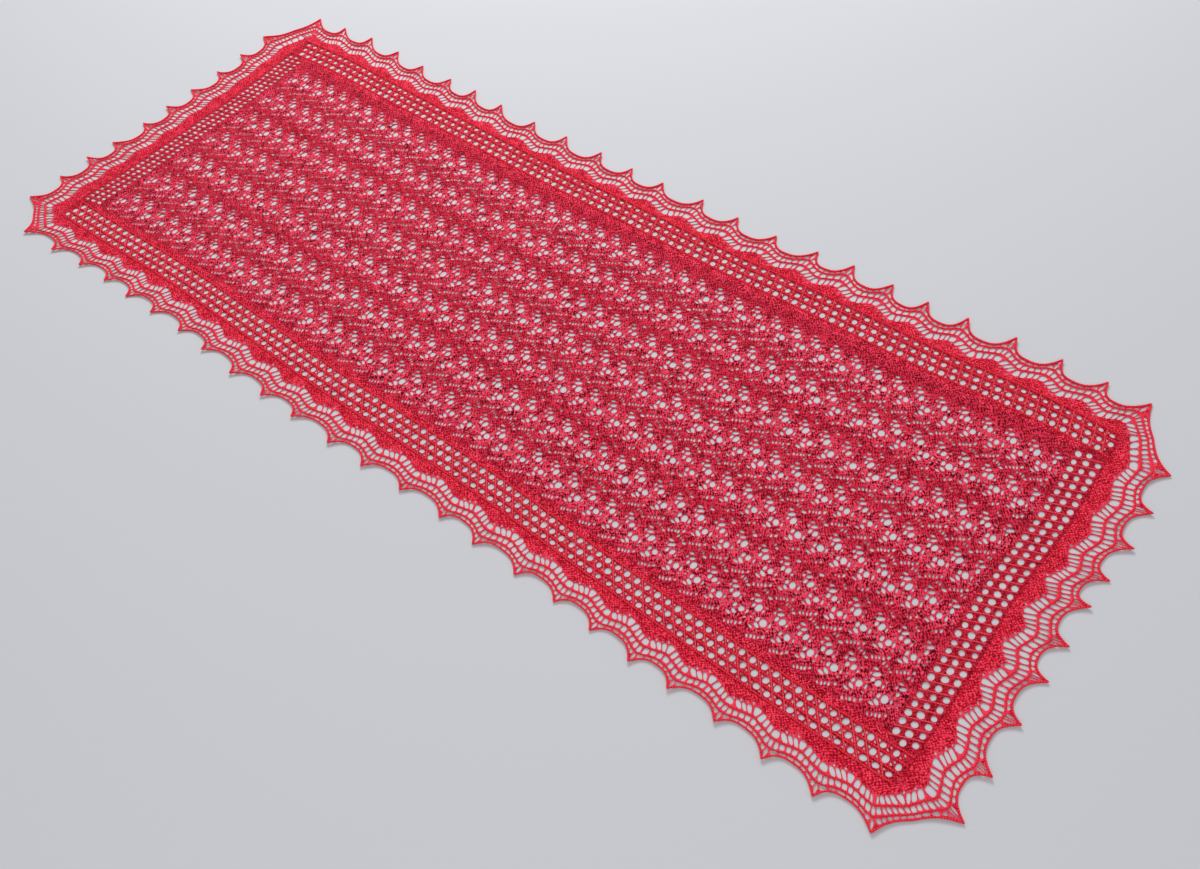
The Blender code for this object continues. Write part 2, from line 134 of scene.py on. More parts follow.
LONG_BLOCKING = (
    LongBlocking(-0.90, 0.006, 0.007, -0.006, 0.004, -0.001, 0.014, -0.004, 0.84, 0.82),
    LongBlocking(-0.72, 0.010, 0.007, 0.007, 0.019, -0.012, 0.004, -0.010, 0.92, 0.91),
    LongBlocking(-0.54, 0.016, 0.007, 0.001, 0.000, 0.000, -0.009, -0.017, 0.91, 0.95),
    LongBlocking(-0.36, 0.012, 0.004, -0.004, -0.010, -0.008, -0.011, -0.010, 0.92, 0.95),
    LongBlocking(-0.18, 0.004, 0.001, -0.008, -0.007, 0.013, 0.000, 0.007, 0.90, 0.95),
    LongBlocking(0.00, 0.006, -0.001, -0.005, 0.003, 0.011, 0.002, 0.012, 0.88, 0.95),
    LongBlocking(0.18, 0.006, -0.004, -0.005, 0.010, 0.024, 0.015, 0.026, 0.90, 0.95),
    LongBlocking(0.36, 0.000, -0.010, 0.006, 0.010, 0.021, 0.023, 0.032, 0.89, 0.95),
    LongBlocking(0.54, -0.007, -0.009, 0.007, -0.008, 0.006, 0.015, 0.028, 0.91, 0.95),
    LongBlocking(0.72, -0.011, -0.004, 0.015, -0.009, 0.012, 0.009, 0.026, 0.86, 0.95),
    LongBlocking(0.90, -0.008, -0.001, 0.004, -0.001, -0.002, -0.012, -0.008, 0.80, 0.92),
)

END_BLOCKING = (
    EndBlocking(-0.36, -0.007, 0.008, -0.004, 0.003, 0.000, -0.004, 0.800, 0.85),
    EndBlocking(-0.24, -0.006, 0.011, 0.002, 0.001, 0.000, 0.008, 0.790, 0.86),
    EndBlocking(-0.12, 0.005, 0.007, -0.005, 0.017, 0.000, 0.002, 0.780, 0.90),
    EndBlocking(0.00, 0.011, -0.001, -0.007, 0.011, 0.000, -0.006, 0.770, 0.89),
    EndBlocking(0.12, 0.015, 0.001, -0.009, -0.006, 0.000, -0.022, 0.755, 0.85),
    EndBlocking(0.24, 0.011, -0.007, -0.003, -0.009, 0.000, -0.018, 0.735, 0.80),
    EndBlocking(0.36, 0.008, -0.012, 0.002, 0.013, 0.000, 0.000, 0.735, 0.80),
)


def eased(rows: Sequence[Any], column: str, at: np.ndarray) -> np.ndarray:
    """Read one column of a blocking table on a smooth curve through its rows.

    Args:
        rows: the table, whose first column is the place.
        column: the name of the column to read.
        at: the places to read it at.

    Returns:
        The column's value at each place.
    """
    stations = np.array([getattr(row, fields(row)[0].name) for row in rows])
    values = np.array([getattr(row, column) for row in rows])
    at = np.clip(at, stations[0], stations[-1])
    upper = np.clip(np.searchsorted(stations, at), 1, len(stations) - 1)
    lower = upper - 1
    before = values[np.maximum(lower - 1, 0)]
    after = values[np.minimum(upper + 1, len(values) - 1)]
    share = (at - stations[lower]) / (stations[upper] - stations[lower])
    start, end = values[lower], values[upper]
    square, cube = share**2, share**3
    return (
        start * (2.0 * cube - 3.0 * square + 1.0)
        + (end - before) / 2.0 * (cube - 2.0 * square + share)
        + end * (3.0 * square - 2.0 * cube)
        + (after - start) / 2.0 * (cube - square)
    )


def smooth_step(low: float, high: float, at: np.ndarray) -> np.ndarray:
    """Rise smoothly from 0 at low to 1 at high."""
    share = np.clip((at - low) / (high - low), 0.0, 1.0)
    return share * share * (3.0 - 2.0 * share)


@dataclass
class Blocking:
    """The pinned cloth: where each plan point lies, how high, and how thick the knitting is there.

    Rates are in radians a metre. Each ripple bends as it crosses the other, and both calm down
    towards the edge. The points curl up by a middle share and a swing round it.
    """

    size: ClothSize = field(default_factory=ClothSize)
    ridge_rise: float = 0.5 * MM
    ridge_swing: float = 0.9
    ridges_end: tuple[float, float] = (0.205, 0.225)
    ripple_rise: float = 0.5 * MM
    ripple_rates: tuple[float, float] = (61.0, 47.0)
    bend_rates: tuple[float, float] = (23.0, 9.0)
    bends: tuple[float, float] = (1.7, 1.3)
    edge_calm: float = 0.6
    tip_rise: float = 2.6 * MM
    farthest_curl: float = 1.1
    curl_rates: tuple[float, float] = (83.0, 71.0)
    curl_shares: tuple[float, float] = (0.55, 0.45)
    centre: np.ndarray = field(default_factory=lambda: np.zeros(2))

    def floor_place(self, plan: np.ndarray) -> np.ndarray:
        """Map plan points to the floor, before the whole is centred.

        Args:
            plan: points (u, v), one a row.

        Returns:
            Points (x, y), one a row.
        """
        u, v = plan[:, 0], plan[:, 1]
        across = v / self.size.half_width
        along = u / self.size.half_length
        front = eased(LONG_BLOCKING, "front", u)
        middle = eased(LONG_BLOCKING, "middle", u)
        far = eased(LONG_BLOCKING, "far", u)
        left = eased(END_BLOCKING, "left", v)
        right = eased(END_BLOCKING, "right", v)
        side = middle + across * (far - front) / 2.0 + across**2 * ((far + front) / 2.0 - middle)
        end = (left * (1.0 - along) + right * (1.0 + along)) / 2.0
        return np.column_stack((u + end, v + side))

    def outward(self, plan: np.ndarray) -> np.ndarray:
        """How far past the border each point lies, as a share of the edging's depth."""
        size = self.size
        return np.maximum(
            (np.abs(plan[:, 0]) - size.border_half_length) / (size.half_length - size.border_half_length),
            (np.abs(plan[:, 1]) - size.border_half_width) / (size.half_width - size.border_half_width),
        )

    def lift(self, plan: np.ndarray) -> np.ndarray:
        """Height of the cloth's underside: slight ripples, and edge points that curl up a little."""
        u, v = plan[:, 0], plan[:, 1]
        along = np.sin(u * self.ripple_rates[0] + self.bends[0] * np.sin(v * self.bend_rates[0]))
        across = np.sin(v * self.ripple_rates[1] + self.bends[1] * np.sin(u * self.bend_rates[1]))
        outward = self.outward(plan)
        calm = 1.0 - self.edge_calm * np.clip(outward, 0.0, 1.0)
        phase = u * self.curl_rates[0] + v * self.curl_rates[1]
        uneven = self.curl_shares[0] + self.curl_shares[1] * np.sin(phase)
        curl = np.clip(outward, 0.0, self.farthest_curl) ** 3 * uneven
        return self.ripple_rise * (1.0 + along * across) / 2.0 * calm + self.tip_rise * curl

    def thickness(self, plan: np.ndarray) -> np.ndarray:
        """Thickness of the knitting: the solid ridges between the panel's waves stand proud."""
        u, v = plan[:, 0], plan[:, 1]
        swing = self.ridge_swing * np.sin(TAU * u / REPEAT_PITCH)
        crest = np.cos(TAU * (v / WAVE_PITCH + 0.5) + swing)
        inside = 1.0 - smooth_step(*self.ridges_end, np.abs(v))
        return self.size.thickness + self.ridge_rise * np.clip(crest, 0.0, 1.0) ** 2 * inside

    def placed(self, plan: np.ndarray, height: np.ndarray) -> np.ndarray:
        """Map plan points and heights to the finished place.

        Args:
            plan: points (u, v), one a row.
            height: the height of each above the floor.

        Returns:
            Points (x, y, z), one a row.
        """
        return np.column_stack((self.floor_place(plan) - self.centre, height))

    def top(self, plan: np.ndarray, above: float = 0.0) -> np.ndarray:
        """Points on the cloth's top, or so far above it."""
        return self.placed(plan, self.lift(plan) + self.thickness(plan) + above)


# ---------------------------------------------------------------- the ring of scallops


@dataclass(frozen=True)
class EdgeSide:
    """One side of the edging, seen with the stole turned so that this side is at the front.

    Its edge is the first word of its blocking columns and of its tips' measure. Its heading is -1
    where it runs against the blocking table's places. Its arcs' depth is a share of the depth.
    """

    scallops: int
    first_tip: float
    last_tip: float
    at_end: bool
    mirrored: bool
    edge: str
    heading: float
    arc: float

    def blocking(self, measure: str, place: np.ndarray) -> np.ndarray:
        """One of this side's own blocking columns, at places along it."""
        table = END_BLOCKING if self.at_end else LONG_BLOCKING
        return eased(table, f"{self.edge}_{measure}", self.heading * place)


EDGE_SIDES = (
    EdgeSide(24, -0.840, 0.830, False, False, "front", 1.0, 0.31),
    EdgeSide(9, -0.280, 0.270, True, True, "right", 1.0, 0.30),
    EdgeSide(24, -0.822, 0.836, False, True, "far", -1.0, 0.40),
    EdgeSide(9, -0.252, 0.290, True, False, "left", -1.0, 0.31),
)


@dataclass
class Scallop:
    """One scallop: its two tips, the feet below them, and the border's corner if it turns one.

    The depths of its arc and of its fan are shares of the edging's depth. Its fan's thin cells
    start and its wide cells end at shares along it.
    """

    start_tip: np.ndarray
    end_tip: np.ndarray
    start_foot: np.ndarray
    end_foot: np.ndarray
    corner: np.ndarray | None
    at_end: bool
    mirrored: bool
    arc: float
    fan: float
    thin_start: float = 0.13
    wide_end: float = 1.09

    def feet(self, along: np.ndarray) -> np.ndarray:
        """Points of the foot line; a corner scallop's foot line turns at the corner."""
        share = np.asarray(along, float)[:, None]
        if self.corner is None:
            return self.start_foot + (self.end_foot - self.start_foot) * share
        first = self.start_foot + (self.corner - self.start_foot) * 2.0 * share
        second = self.corner + (self.end_foot - self.corner) * (2.0 * share - 1.0)
        return np.where(share < 0.5, first, second)

    def points(self, along: Sequence[float], depth: Sequence[float]) -> np.ndarray:
        """Plan points at shares along the scallop and shares of the edging's depth, 0 at the tips.

        Args:
            along: shares along the scallop, 0 at its first tip and 1 at its last.
            depth: shares of the depth, 0 at the tips and 1 at the border.

        Returns:
            Points (u, v), one a row.
        """
        share = np.asarray(along, float)[:, None]
        depth = np.asarray(depth, float)[:, None]
        tips = self.start_tip + (self.end_tip - self.start_tip) * share
        return tips + (self.feet(along) - tips) * depth

    def point(self, along: float, depth: float) -> np.ndarray:
        """One plan point of the scallop."""
        return self.points([along], [depth])[0]

    @property
    def width(self) -> float:
        """Distance between the two tips."""
        return float(np.linalg.norm(self.end_tip - self.start_tip))

    @property
    def depth(self) -> float:
        """Distance from the line of the tips to the border, in the middle."""
        return float(np.linalg.norm(self.point(0.5, 1.0) - self.point(0.5, 0.0)))


@dataclass
class ScallopRing:
    """All seventy scallops, counter-clockwise from the left end of the front edge.

    The tips wander along and out in sine waves. Their rates are radians a scallop and a side, and
    where the second wave starts. Where the scallops' lean changes, the fans start or end early.
    """

    size: ClothSize
    corner_arc: float = 0.205
    corner_fan: float = 0.842
    tip_reach: float = 1.5 * MM
    tip_softness: float = 1.5 * MM
    end_tip_softness: float = 0.7 * MM
    cusp_back: float = 0.35
    wander_along: float = 4.0 * MM
    along_rates: tuple[float, float] = (2.4, 1.9)
    wander_out: float = 2.2 * MM
    out_rates: tuple[float, float, float] = (1.7, 0.8, 0.6)
    early_thin_start: float = 0.04
    early_wide_end: float = 0.99
    scallops: list[Scallop] = field(default_factory=list)

    def __post_init__(self) -> None:
        """Lay out the four rows of points and join them into one ring."""
        rows = [self.point_row(side, turn) for turn, side in enumerate(EDGE_SIDES)]
        for turn, side in enumerate(EDGE_SIDES):
            tips, feet = rows[turn]
            next_tips, next_feet = rows[(turn + 1) % len(rows)]
            following = EDGE_SIDES[(turn + 1) % len(rows)]
            middle = (np.arange(side.scallops) + 0.5) / side.scallops
            fans = side.blocking("fan", side.first_tip + (side.last_tip - side.first_tip) * middle)
            for index in range(side.scallops):
                ends = (tips[index], tips[index + 1], feet[index], feet[index + 1])
                kind = (side.at_end, side.mirrored, side.arc, float(fans[index]))
                self.scallops.append(Scallop(*ends, None, *kind))
            reach = [[self.border_reach(side, True), -self.border_reach(side, False)]]
            corner = self.turned(np.array(reach), turn)[0]
            ends = (tips[-1], next_tips[0], feet[-1], next_feet[0])
            kind = (side.at_end, following.mirrored, self.corner_arc, self.corner_fan)
            self.scallops.append(Scallop(*ends, corner, *kind))
        for scallop, following in zip(self.scallops, self.scallops[1:] + self.scallops[:1]):
            if following.mirrored and not scallop.mirrored:
                scallop.wide_end = following.wide_end = self.early_wide_end
            elif scallop.mirrored and not following.mirrored:
                scallop.thin_start = following.thin_start = self.early_thin_start

    def border_reach(self, side: EdgeSide, along: bool) -> float:
        """Half the border's measure along one of its sides, or away from the middle."""
        return self.size.border_half_length if side.at_end != along else self.size.border_half_width

    def tip_out(self, side: EdgeSide) -> float:
        """How far from the middle the tips of a side lie."""
        measures = {
            "front": self.size.half_width,
            "right": self.size.half_length,
            "far": self.size.far_half_width,
            "left": self.size.left_half_length,
        }
        return measures[side.edge] + self.tip_reach

    @staticmethod
    def turned(points: np.ndarray, turns: int) -> np.ndarray:
        """Plan points turned counter-clockwise by quarter turns."""
        for _ in range(turns):
            points = np.column_stack((-points[:, 1], points[:, 0]))
        return points

    def point_row(self, side: EdgeSide, turn: int) -> tuple[np.ndarray, np.ndarray]:
        """Tips and feet of one side, in order.

        Args:
            side: the side.
            turn: how many quarter turns it lies from the front.

        Returns:
            The tips and the feet, one a row.
        """
        index = np.arange(side.scallops + 1)
        share = index / side.scallops
        place = side.first_tip + (side.last_tip - side.first_tip) * share
        a_scallop, a_side = self.along_rates
        along = self.wander_along * np.sin(a_scallop * index + a_side * turn) * np.sin(math.pi * share)
        a_scallop, a_side, start = self.out_rates
        out = self.wander_out * np.sin(a_scallop * index + a_side * turn + start)
        along = along + side.heading * side.blocking("drift", place)
        tips = np.column_stack((place + along, -(self.tip_out(side) + out)))
        foot = place * self.size.foot_draw
        foot_along = foot + side.heading * side.blocking("feet", foot)
        feet = np.column_stack((foot_along, np.full_like(foot, -self.border_reach(side, False))))
        return self.turned(tips, turn), self.turned(feet, turn)

    def edge_depth(self, scallop: Scallop, along: Any, inset: float = 0.0) -> np.ndarray:
        """Depth of a scallop's outer edge, or of a line so far inside it.

        Args:
            scallop: the scallop.
            along: shares along it.
            inset: how far inside the edge, square to it.

        Returns:
            The depth there: a cusp at each tip and a round hollow between.
        """
        half = scallop.width / 2.0
        softness = self.end_tip_softness if scallop.at_end else self.tip_softness
        full = scallop.arc
        distance = half * (1.0 - np.abs(2.0 * np.asarray(along, float) - 1.0))
        soft = np.sqrt(distance**2 + softness**2)
        left = 1.0 - np.minimum((soft - self.cusp_back * softness) / half, 1.0)
        slope = 3.0 * full * scallop.depth / half * left**2 * distance / soft
        return full * (1.0 - left**3) + inset * np.sqrt(1.0 + slope**2) / scallop.depth


# ---------------------------------------------------------------- gaps in the knitting


@dataclass
class Gaps:
    """The gaps of one knitted piece, each a rounded outline in the plan.

    Once settled, a gap is its centre and its corners' offsets, padded with its last corner. Its
    sides swell unevenly, less where it is a narrow slit. Of two that are too close both shrink, but
    one much bigger than the other keeps its size. One left with too little reach is closed.
    """

    seed: int
    shapes: list[np.ndarray] = field(default_factory=list)
    sides: np.ndarray = field(default_factory=lambda: np.zeros(0, int))
    centre: np.ndarray = field(default_factory=lambda: np.zeros((0, 2)))
    offset: np.ndarray = field(default_factory=lambda: np.zeros((0, 0, 2)))
    cell_squareness: float = 0.7
    cell_least_open: float = 0.15
    swells: tuple[float, float] = (0.07, 0.05)
    slit_ratio: float = 0.15
    slit_fade: float = 2.5
    rounds: int = 40
    shrinkage: float = 0.955
    much_bigger: float = 1.4
    least_reach: float = 0.22 * MM

    def add(self, outline: np.ndarray) -> None:
        """Note one gap's outline, turned counter-clockwise if it isn't."""
        following = np.roll(outline, -1, axis=0)
        turn = float((outline[:, 0] * following[:, 1] - outline[:, 1] * following[:, 0]).sum())
        self.shapes.append(outline if turn > 0.0 else outline[::-1])

    def oval(self, centre: Sequence[float], half: Sequence[float], tilt: float, sides: int) -> None:
        """Add an oval gap.

        Args:
            centre: its middle in the plan.
            half: its half sizes along and across its own axis.
            tilt: the angle of its own axis from u, in degrees.
            sides: how many corners its outline has.
        """
        angle = TAU * (np.arange(sides) + 0.5) / sides
        along, across = half[0] * np.cos(angle), half[1] * np.sin(angle)
        cosine, sine = math.cos(math.radians(tilt)), math.sin(math.radians(tilt))
        turned = np.column_stack((along * cosine - across * sine, along * sine + across * cosine))
        self.add(np.asarray(centre) + turned)

    def cell(self, corners: Sequence[np.ndarray], insets: Sequence[float], sides: int) -> None:
        """Add a gap between four strands, with rounded corners.

        Args:
            corners: where the strands' middles cross: outer first, outer last, inner last, inner first.
            insets: how far inside the side strands and the outer and inner strands it stays.
            sides: how many corners its outline has.
        """
        a, b, c, d = (np.asarray(corner) for corner in corners)
        width = np.linalg.norm((b + c) / 2.0 - (a + d) / 2.0)
        height = np.linalg.norm((c + d) / 2.0 - (a + b) / 2.0)
        angle = TAU * (np.arange(sides) + 0.5) / sides
        waves = (np.cos(angle), np.sin(angle))
        square = [np.sign(wave) * np.abs(wave) ** self.cell_squareness for wave in waves]
        open_across = max(1.0 - 2.0 * insets[0] / width, self.cell_least_open)
        open_inward = max(1.0 - 2.0 * insets[1] / height, self.cell_least_open)
        across = (0.5 + 0.5 * square[0] * open_across)[:, None]
        inward = (0.5 + 0.5 * square[1] * open_inward)[:, None]
        outer, inner = a + (b - a) * across, d + (c - d) * across
        self.add(outer + (inner - outer) * inward)

    def stray(self, wander: float, vary: float) -> None:
        """Move, resize and bend every gap a little, as hand knitting does.

        Args:
            wander: how far a gap may stray.
            vary: how much its size may differ, as a share.
        """
        random = np.random.default_rng(self.seed)
        count = len(self.shapes)
        self.sides = np.array([len(shape) for shape in self.shapes])
        steps = np.arange(self.sides.max())
        self.centre = np.array([shape.mean(axis=0) for shape in self.shapes])
        padded = np.array([shape[np.minimum(steps, len(shape) - 1)] for shape in self.shapes])
        self.offset = padded - self.centre[:, None]
        self.centre = self.centre + random.normal(0.0, wander, (count, 2))
        angle = np.arctan2(self.offset[..., 1], self.offset[..., 0])
        lean = random.uniform(0.0, TAU, (count, 1))
        size = 1.0 + random.uniform(-vary, vary, (count, 1))
        reach = self.reaches()
        past_slit = reach.min(axis=1) / reach.max(axis=1) - self.slit_ratio
        roundness = np.clip(self.slit_fade * past_slit, 0.0, 1.0)[:, None]
        bend = self.swells[0] * np.cos(angle - lean) + self.swells[1] * np.cos(2.0 * angle + 3.0 * lean)
        self.offset = self.offset * (size * (1.0 + roundness * bend))[..., None]

    def settle(self, fixed: np.ndarray, strand: float, wander: float, vary: float) -> None:
        """Let the gaps stray, then shrink them until strands are left between.

        Args:
            fixed: plan points that the gaps keep clear of.
            strand: the least distance that is left between gaps.
            wander: how far a gap may stray.
            vary: how much its size may differ, as a share.
        """
        self.stray(wander, vary)
        count = len(self.shapes)
        everything = np.vstack((self.centre, fixed))
        first, second = neighbours(everything, count, NEARBY)
        apart = (everything[second] - everything[first]) @ HEADINGS.T
        keep = np.ones(count, bool)
        for turn in range(self.rounds):
            reach = np.zeros((len(everything), len(HEADINGS)))
            reach[:count] = self.reaches()
            opposite = np.roll(reach[second], len(HEADINGS) // 2, axis=1)
            clear = (apart - reach[first] - opposite).max(axis=1)
            tight = clear < strand
            if not tight.any():
                break
            size = np.append(reach[:count].mean(axis=1), np.full(len(fixed), np.inf))
            bigger = size[first] > self.much_bigger * size[second]
            smaller = size[second] > self.much_bigger * size[first]
            shrink = np.ones(len(everything))
            shrink[first[tight & ~bigger]] = self.shrinkage
            shrink[second[tight & ~smaller]] = self.shrinkage
            self.offset = self.offset * shrink[:count, None, None]
        else:
            smaller = size[second[tight]] < size[first[tight]]
            keep[np.where(smaller, np.minimum(second[tight], count - 1), first[tight])] = False
        keep &= reach[:count].min(axis=1) > self.least_reach
        LOG.info("gaps: %d kept of %d after %d rounds", keep.sum(), count, turn)
        self.centre, self.offset, self.sides = self.centre[keep], self.offset[keep], self.sides[keep]

    def reaches(self) -> np.ndarray:
        """How far each gap reaches from its middle in each heading."""
        return (self.offset @ HEADINGS.T).max(axis=1)

    def loops(self, spread: float) -> list[np.ndarray]:
        """Clockwise outlines of all gaps, so far outside their own edges."""
        found: list[np.ndarray] = [np.empty(0)] * len(self.centre)
        for sides in np.unique(self.sides):
            chosen = np.flatnonzero(self.sides == sides)
            corner = (self.centre[chosen, None] + self.offset[chosen, :sides])[:, ::-1]
            along = np.roll(corner, -1, axis=1) - np.roll(corner, 1, axis=1)
            along /= np.linalg.norm(along, axis=2, keepdims=True) + 1e-12
            corner = corner + spread * np.stack((-along[..., 1], along[..., 0]), axis=2)
            for index, loop in zip(chosen, corner):
                found[index] = loop
        return found

    def clear_points(self, points: np.ndarray, strand: float) -> np.ndarray:
        """Those of the points that lie at least so far outside every gap."""
        tree = tree_of(self.centre)
        pairs = [
            (number, index)
            for number, (u, v) in enumerate(points)
            for _, index, _ in tree.find_range((u, v, 0.0), NEARBY)
        ]
        keep = np.ones(len(points), bool)
        if pairs:
            number, index = np.array(pairs).T
            apart = (points[number] - self.centre[index]) @ HEADINGS.T
            clear = (apart - self.reaches()[index]).max(axis=1)
            keep[number[clear < strand]] = False
        return points[keep]


def tree_of(points: np.ndarray) -> KDTree:
    """A search tree of plan points."""
    tree = KDTree(len(points))
    for index, (u, v) in enumerate(points):
        tree.insert((u, v, 0.0), index)
    tree.balance()
    return tree


def neighbours(points: np.ndarray, count: int, within: float) -> tuple[np.ndarray, np.ndarray]:
    """Pairs of near points, the first of them among the leading ones.

    Args:
        points: all plan points.
        count: how many of them come first in pairs.
        within: the greatest distance of a pair.

    Returns:
        The numbers of the first and of the second point of each pair.
    """
    tree = tree_of(points)
    pairs = [
        (index, other)
        for index in range(count)
        for _, other, _ in tree.find_range((*points[index], 0.0), within)
        if other > index
    ]
    first, second = np.array(pairs, int).reshape(-1, 2).T
    return first, second


# ---------------------------------------------------------------- knitted sheets


@dataclass
class LaceSheet:
    """A closed knitted sheet: an outline, an inner edge for a ring, gaps, and points of relief.

    Its top is a shoulder's width outside each gap, and a little thinner there. A rounded wall also
    has a waist, at shares of the way out to the top's rim and of the height.
    """

    name: str
    blocking: Blocking
    outline: np.ndarray
    gaps: Gaps
    inner: np.ndarray | None = None
    relief: np.ndarray = field(default_factory=lambda: np.zeros((0, 2)))
    shoulder: float = 0.30 * MM
    rim_thinness: float = 0.94
    waist_out: float = 0.22
    waist_up: float = 0.62
    rounded: bool = True
    area: float = 0.0

    def rims(self, spread: float) -> list[np.ndarray]:
        """The outline, the inner edge and every gap's outline, spread outside the gap."""
        edges = [self.outline] if self.inner is None else [self.outline, self.inner]
        return edges + self.gaps.loops(spread)

    @staticmethod
    def triangles(loops: list[np.ndarray], points: np.ndarray) -> np.ndarray:
        """Triangles between closed loops and loose points; what lies in an inner loop is left out.

        Args:
            loops: the outline first, then the inner loops.
            points: loose points between them.

        Returns:
            Corner numbers, one triangle a row, counter-clockwise.
        """
        counts = [len(loop) for loop in loops]
        starts = np.concatenate(([0], np.cumsum(counts)))
        places = np.vstack(loops + [points])
        owner = np.full(len(places), -1)
        edges: list[tuple[int, int]] = []
        for number, (start, count) in enumerate(zip(starts, counts)):
            owner[start : start + count] = number
            edges += [(start + step, start + (step + 1) % count) for step in range(count)]
        found, _, faces, origins, _, _ = delaunay_2d_cdt(places.tolist(), edges, [], 1, 1e-8)
        if len(found) != len(places):
            raise ValueError(f"{abs(len(found) - len(places))} loops touch or cross")
        number_of = np.array([origin[0] for origin in origins])
        corners = number_of[np.array(faces)]
        owners = owner[corners]
        within = (owners[:, 0] > 0) & (owners[:, 0] == owners[:, 1]) & (owners[:, 1] == owners[:, 2])
        corners = corners[~within]
        clockwise = doubled_areas(places, corners) < 0.0
        corners[clockwise] = corners[clockwise][:, ::-1]
        return corners

    def build(self, material: bpy.types.Material) -> bpy.types.Object:
        """Make the sheet's mesh in its yarn.

        Args:
            material: its yarn.

        Returns:
            The finished object.
        """
        upper_loops, lower_loops = self.rims(self.shoulder), self.rims(0.0)
        upper_faces = self.triangles(upper_loops, self.relief)
        lower_faces = self.triangles(lower_loops, np.zeros((0, 2)))
        upper, lower = np.vstack(upper_loops + [self.relief]), np.vstack(lower_loops)
        rim_count = len(lower)
        edge_count = len(self.outline) + (0 if self.inner is None else len(self.inner))
        counts = np.array([len(loop) for loop in lower_loops])
        starts = np.repeat(np.cumsum(counts) - counts, counts)
        here = np.arange(rim_count)
        there = starts + (here - starts + 1) % np.repeat(counts, counts)

        thickness = self.blocking.thickness(upper)
        thickness[:rim_count] *= self.rim_thinness
        plan = [upper, lower]
        height = [self.blocking.lift(upper) + thickness, self.blocking.lift(lower)]
        below = len(upper)
        at_gap = here >= edge_count
        quads = [(below + here, below + there, there, here)]
        if self.rounded:
            waist = lower + (upper[:rim_count] - lower) * self.waist_out
            plan.append(waist)
            height.append(self.blocking.lift(waist) + self.waist_up * self.blocking.thickness(waist))
            ring, ring_there = below + rim_count + here, below + rim_count + there
            quads = [(below + here, below + there, ring_there, ring), (ring, ring_there, there, here)]
        walls = [np.column_stack((a, b, c, a, c, d)).reshape(-1, 3) for a, b, c, d in quads]
        faces = np.vstack((upper_faces, below + lower_faces[:, ::-1], *walls))
        plan_points = np.vstack(plan)
        places = self.blocking.placed(plan_points, np.concatenate(height))
        self.area = float(np.abs(doubled_areas(places, upper_faces)).sum() / 2.0)

        mesh = mesh_from(self.name, places, faces)
        add_uv(mesh, knit_place(plan_points, self.blocking.size))
        number = np.arange(len(places))
        crease_within(mesh, ((number >= below) & (number < below + rim_count), number < edge_count))
        # A mask for the painted highlight: 1 on the rims of gaps and on the rounded walls' waists.
        rim_highlight = np.zeros(len(places), np.float32)
        rim_highlight[:rim_count] = at_gap
        rim_highlight[below + rim_count :] = 1.0
        mesh.attributes.new(RIM_HIGHLIGHT, "FLOAT", "POINT").data.foreach_set("value", rim_highlight)
        mesh.materials.append(material)
        return linked(self.name, mesh)


def doubled_areas(places: np.ndarray, corners: np.ndarray) -> np.ndarray:
    """Twice each triangle's area seen from above, negative where it runs clockwise."""
    a, b, c = (places[corners[:, column], :2] for column in range(3))
    return (b - a)[:, 0] * (c - a)[:, 1] - (b - a)[:, 1] * (c - a)[:, 0]


def linked(name: str, data: bpy.types.ID) -> bpy.types.Object:
    """A new object in the scene."""
    thing = bpy.data.objects.new(name, data)
    bpy.context.collection.objects.link(thing)
    return thing


def mesh_from(name: str, places: np.ndarray, triangles: np.ndarray) -> bpy.types.Mesh:
    """A smooth mesh from corner places and triangles."""
    mesh = bpy.data.meshes.new(name)
    mesh.vertices.add(len(places))
    mesh.vertices.foreach_set("co", places.astype(np.float32).ravel())
    mesh.loops.add(triangles.size)
    mesh.loops.foreach_set("vertex_index", triangles.astype(np.int32).ravel())
    mesh.polygons.add(len(triangles))
    mesh.polygons.foreach_set("loop_start", np.arange(0, triangles.size, 3, dtype=np.int32))
    mesh.update(calc_edges=True)
    mesh.validate()
    mesh.shade_smooth()
    return mesh


def add_uv(mesh: bpy.types.Mesh, places: np.ndarray) -> None:
    """Give a mesh the knitting's own coordinates, in metres, from one pair a vertex."""
    layer = mesh.uv_layers.new(name=KNIT_UV)
    corner = np.empty(len(mesh.loops), np.int32)
    mesh.loops.foreach_get("vertex_index", corner)
    layer.data.foreach_set("uv", places[corner].astype(np.float32).ravel())


def crease_within(mesh: bpy.types.Mesh, groups: Sequence[np.ndarray]) -> None:
    """Mark sharp every edge that has both its ends in one of the groups of vertices."""
    ends = np.empty(len(mesh.edges) * 2, np.int32)
    mesh.edges.foreach_get("vertices", ends)
    pairs = ends.reshape(-1, 2)
    sharp = np.zeros(len(pairs), bool)
    for group in groups:
        sharp |= group[pairs].all(axis=1)
    mesh.edges.foreach_set("use_edge_sharp", sharp)


def knit_place(plan: np.ndarray, size: ClothSize) -> np.ndarray:
    """The knitting's own coordinates: along its rows and across them; rows turn at the two ends."""
    u, v = plan[:, 0], plan[:, 1]
    past_end = np.abs(u) - size.panel_half_length > np.maximum(np.abs(v) - size.panel_half_width, 0.0)
    return np.where(past_end[:, None], np.column_stack((v, u)), np.column_stack((u, v)))


# ---------------------------------------------------------------- shader and geometry nodes


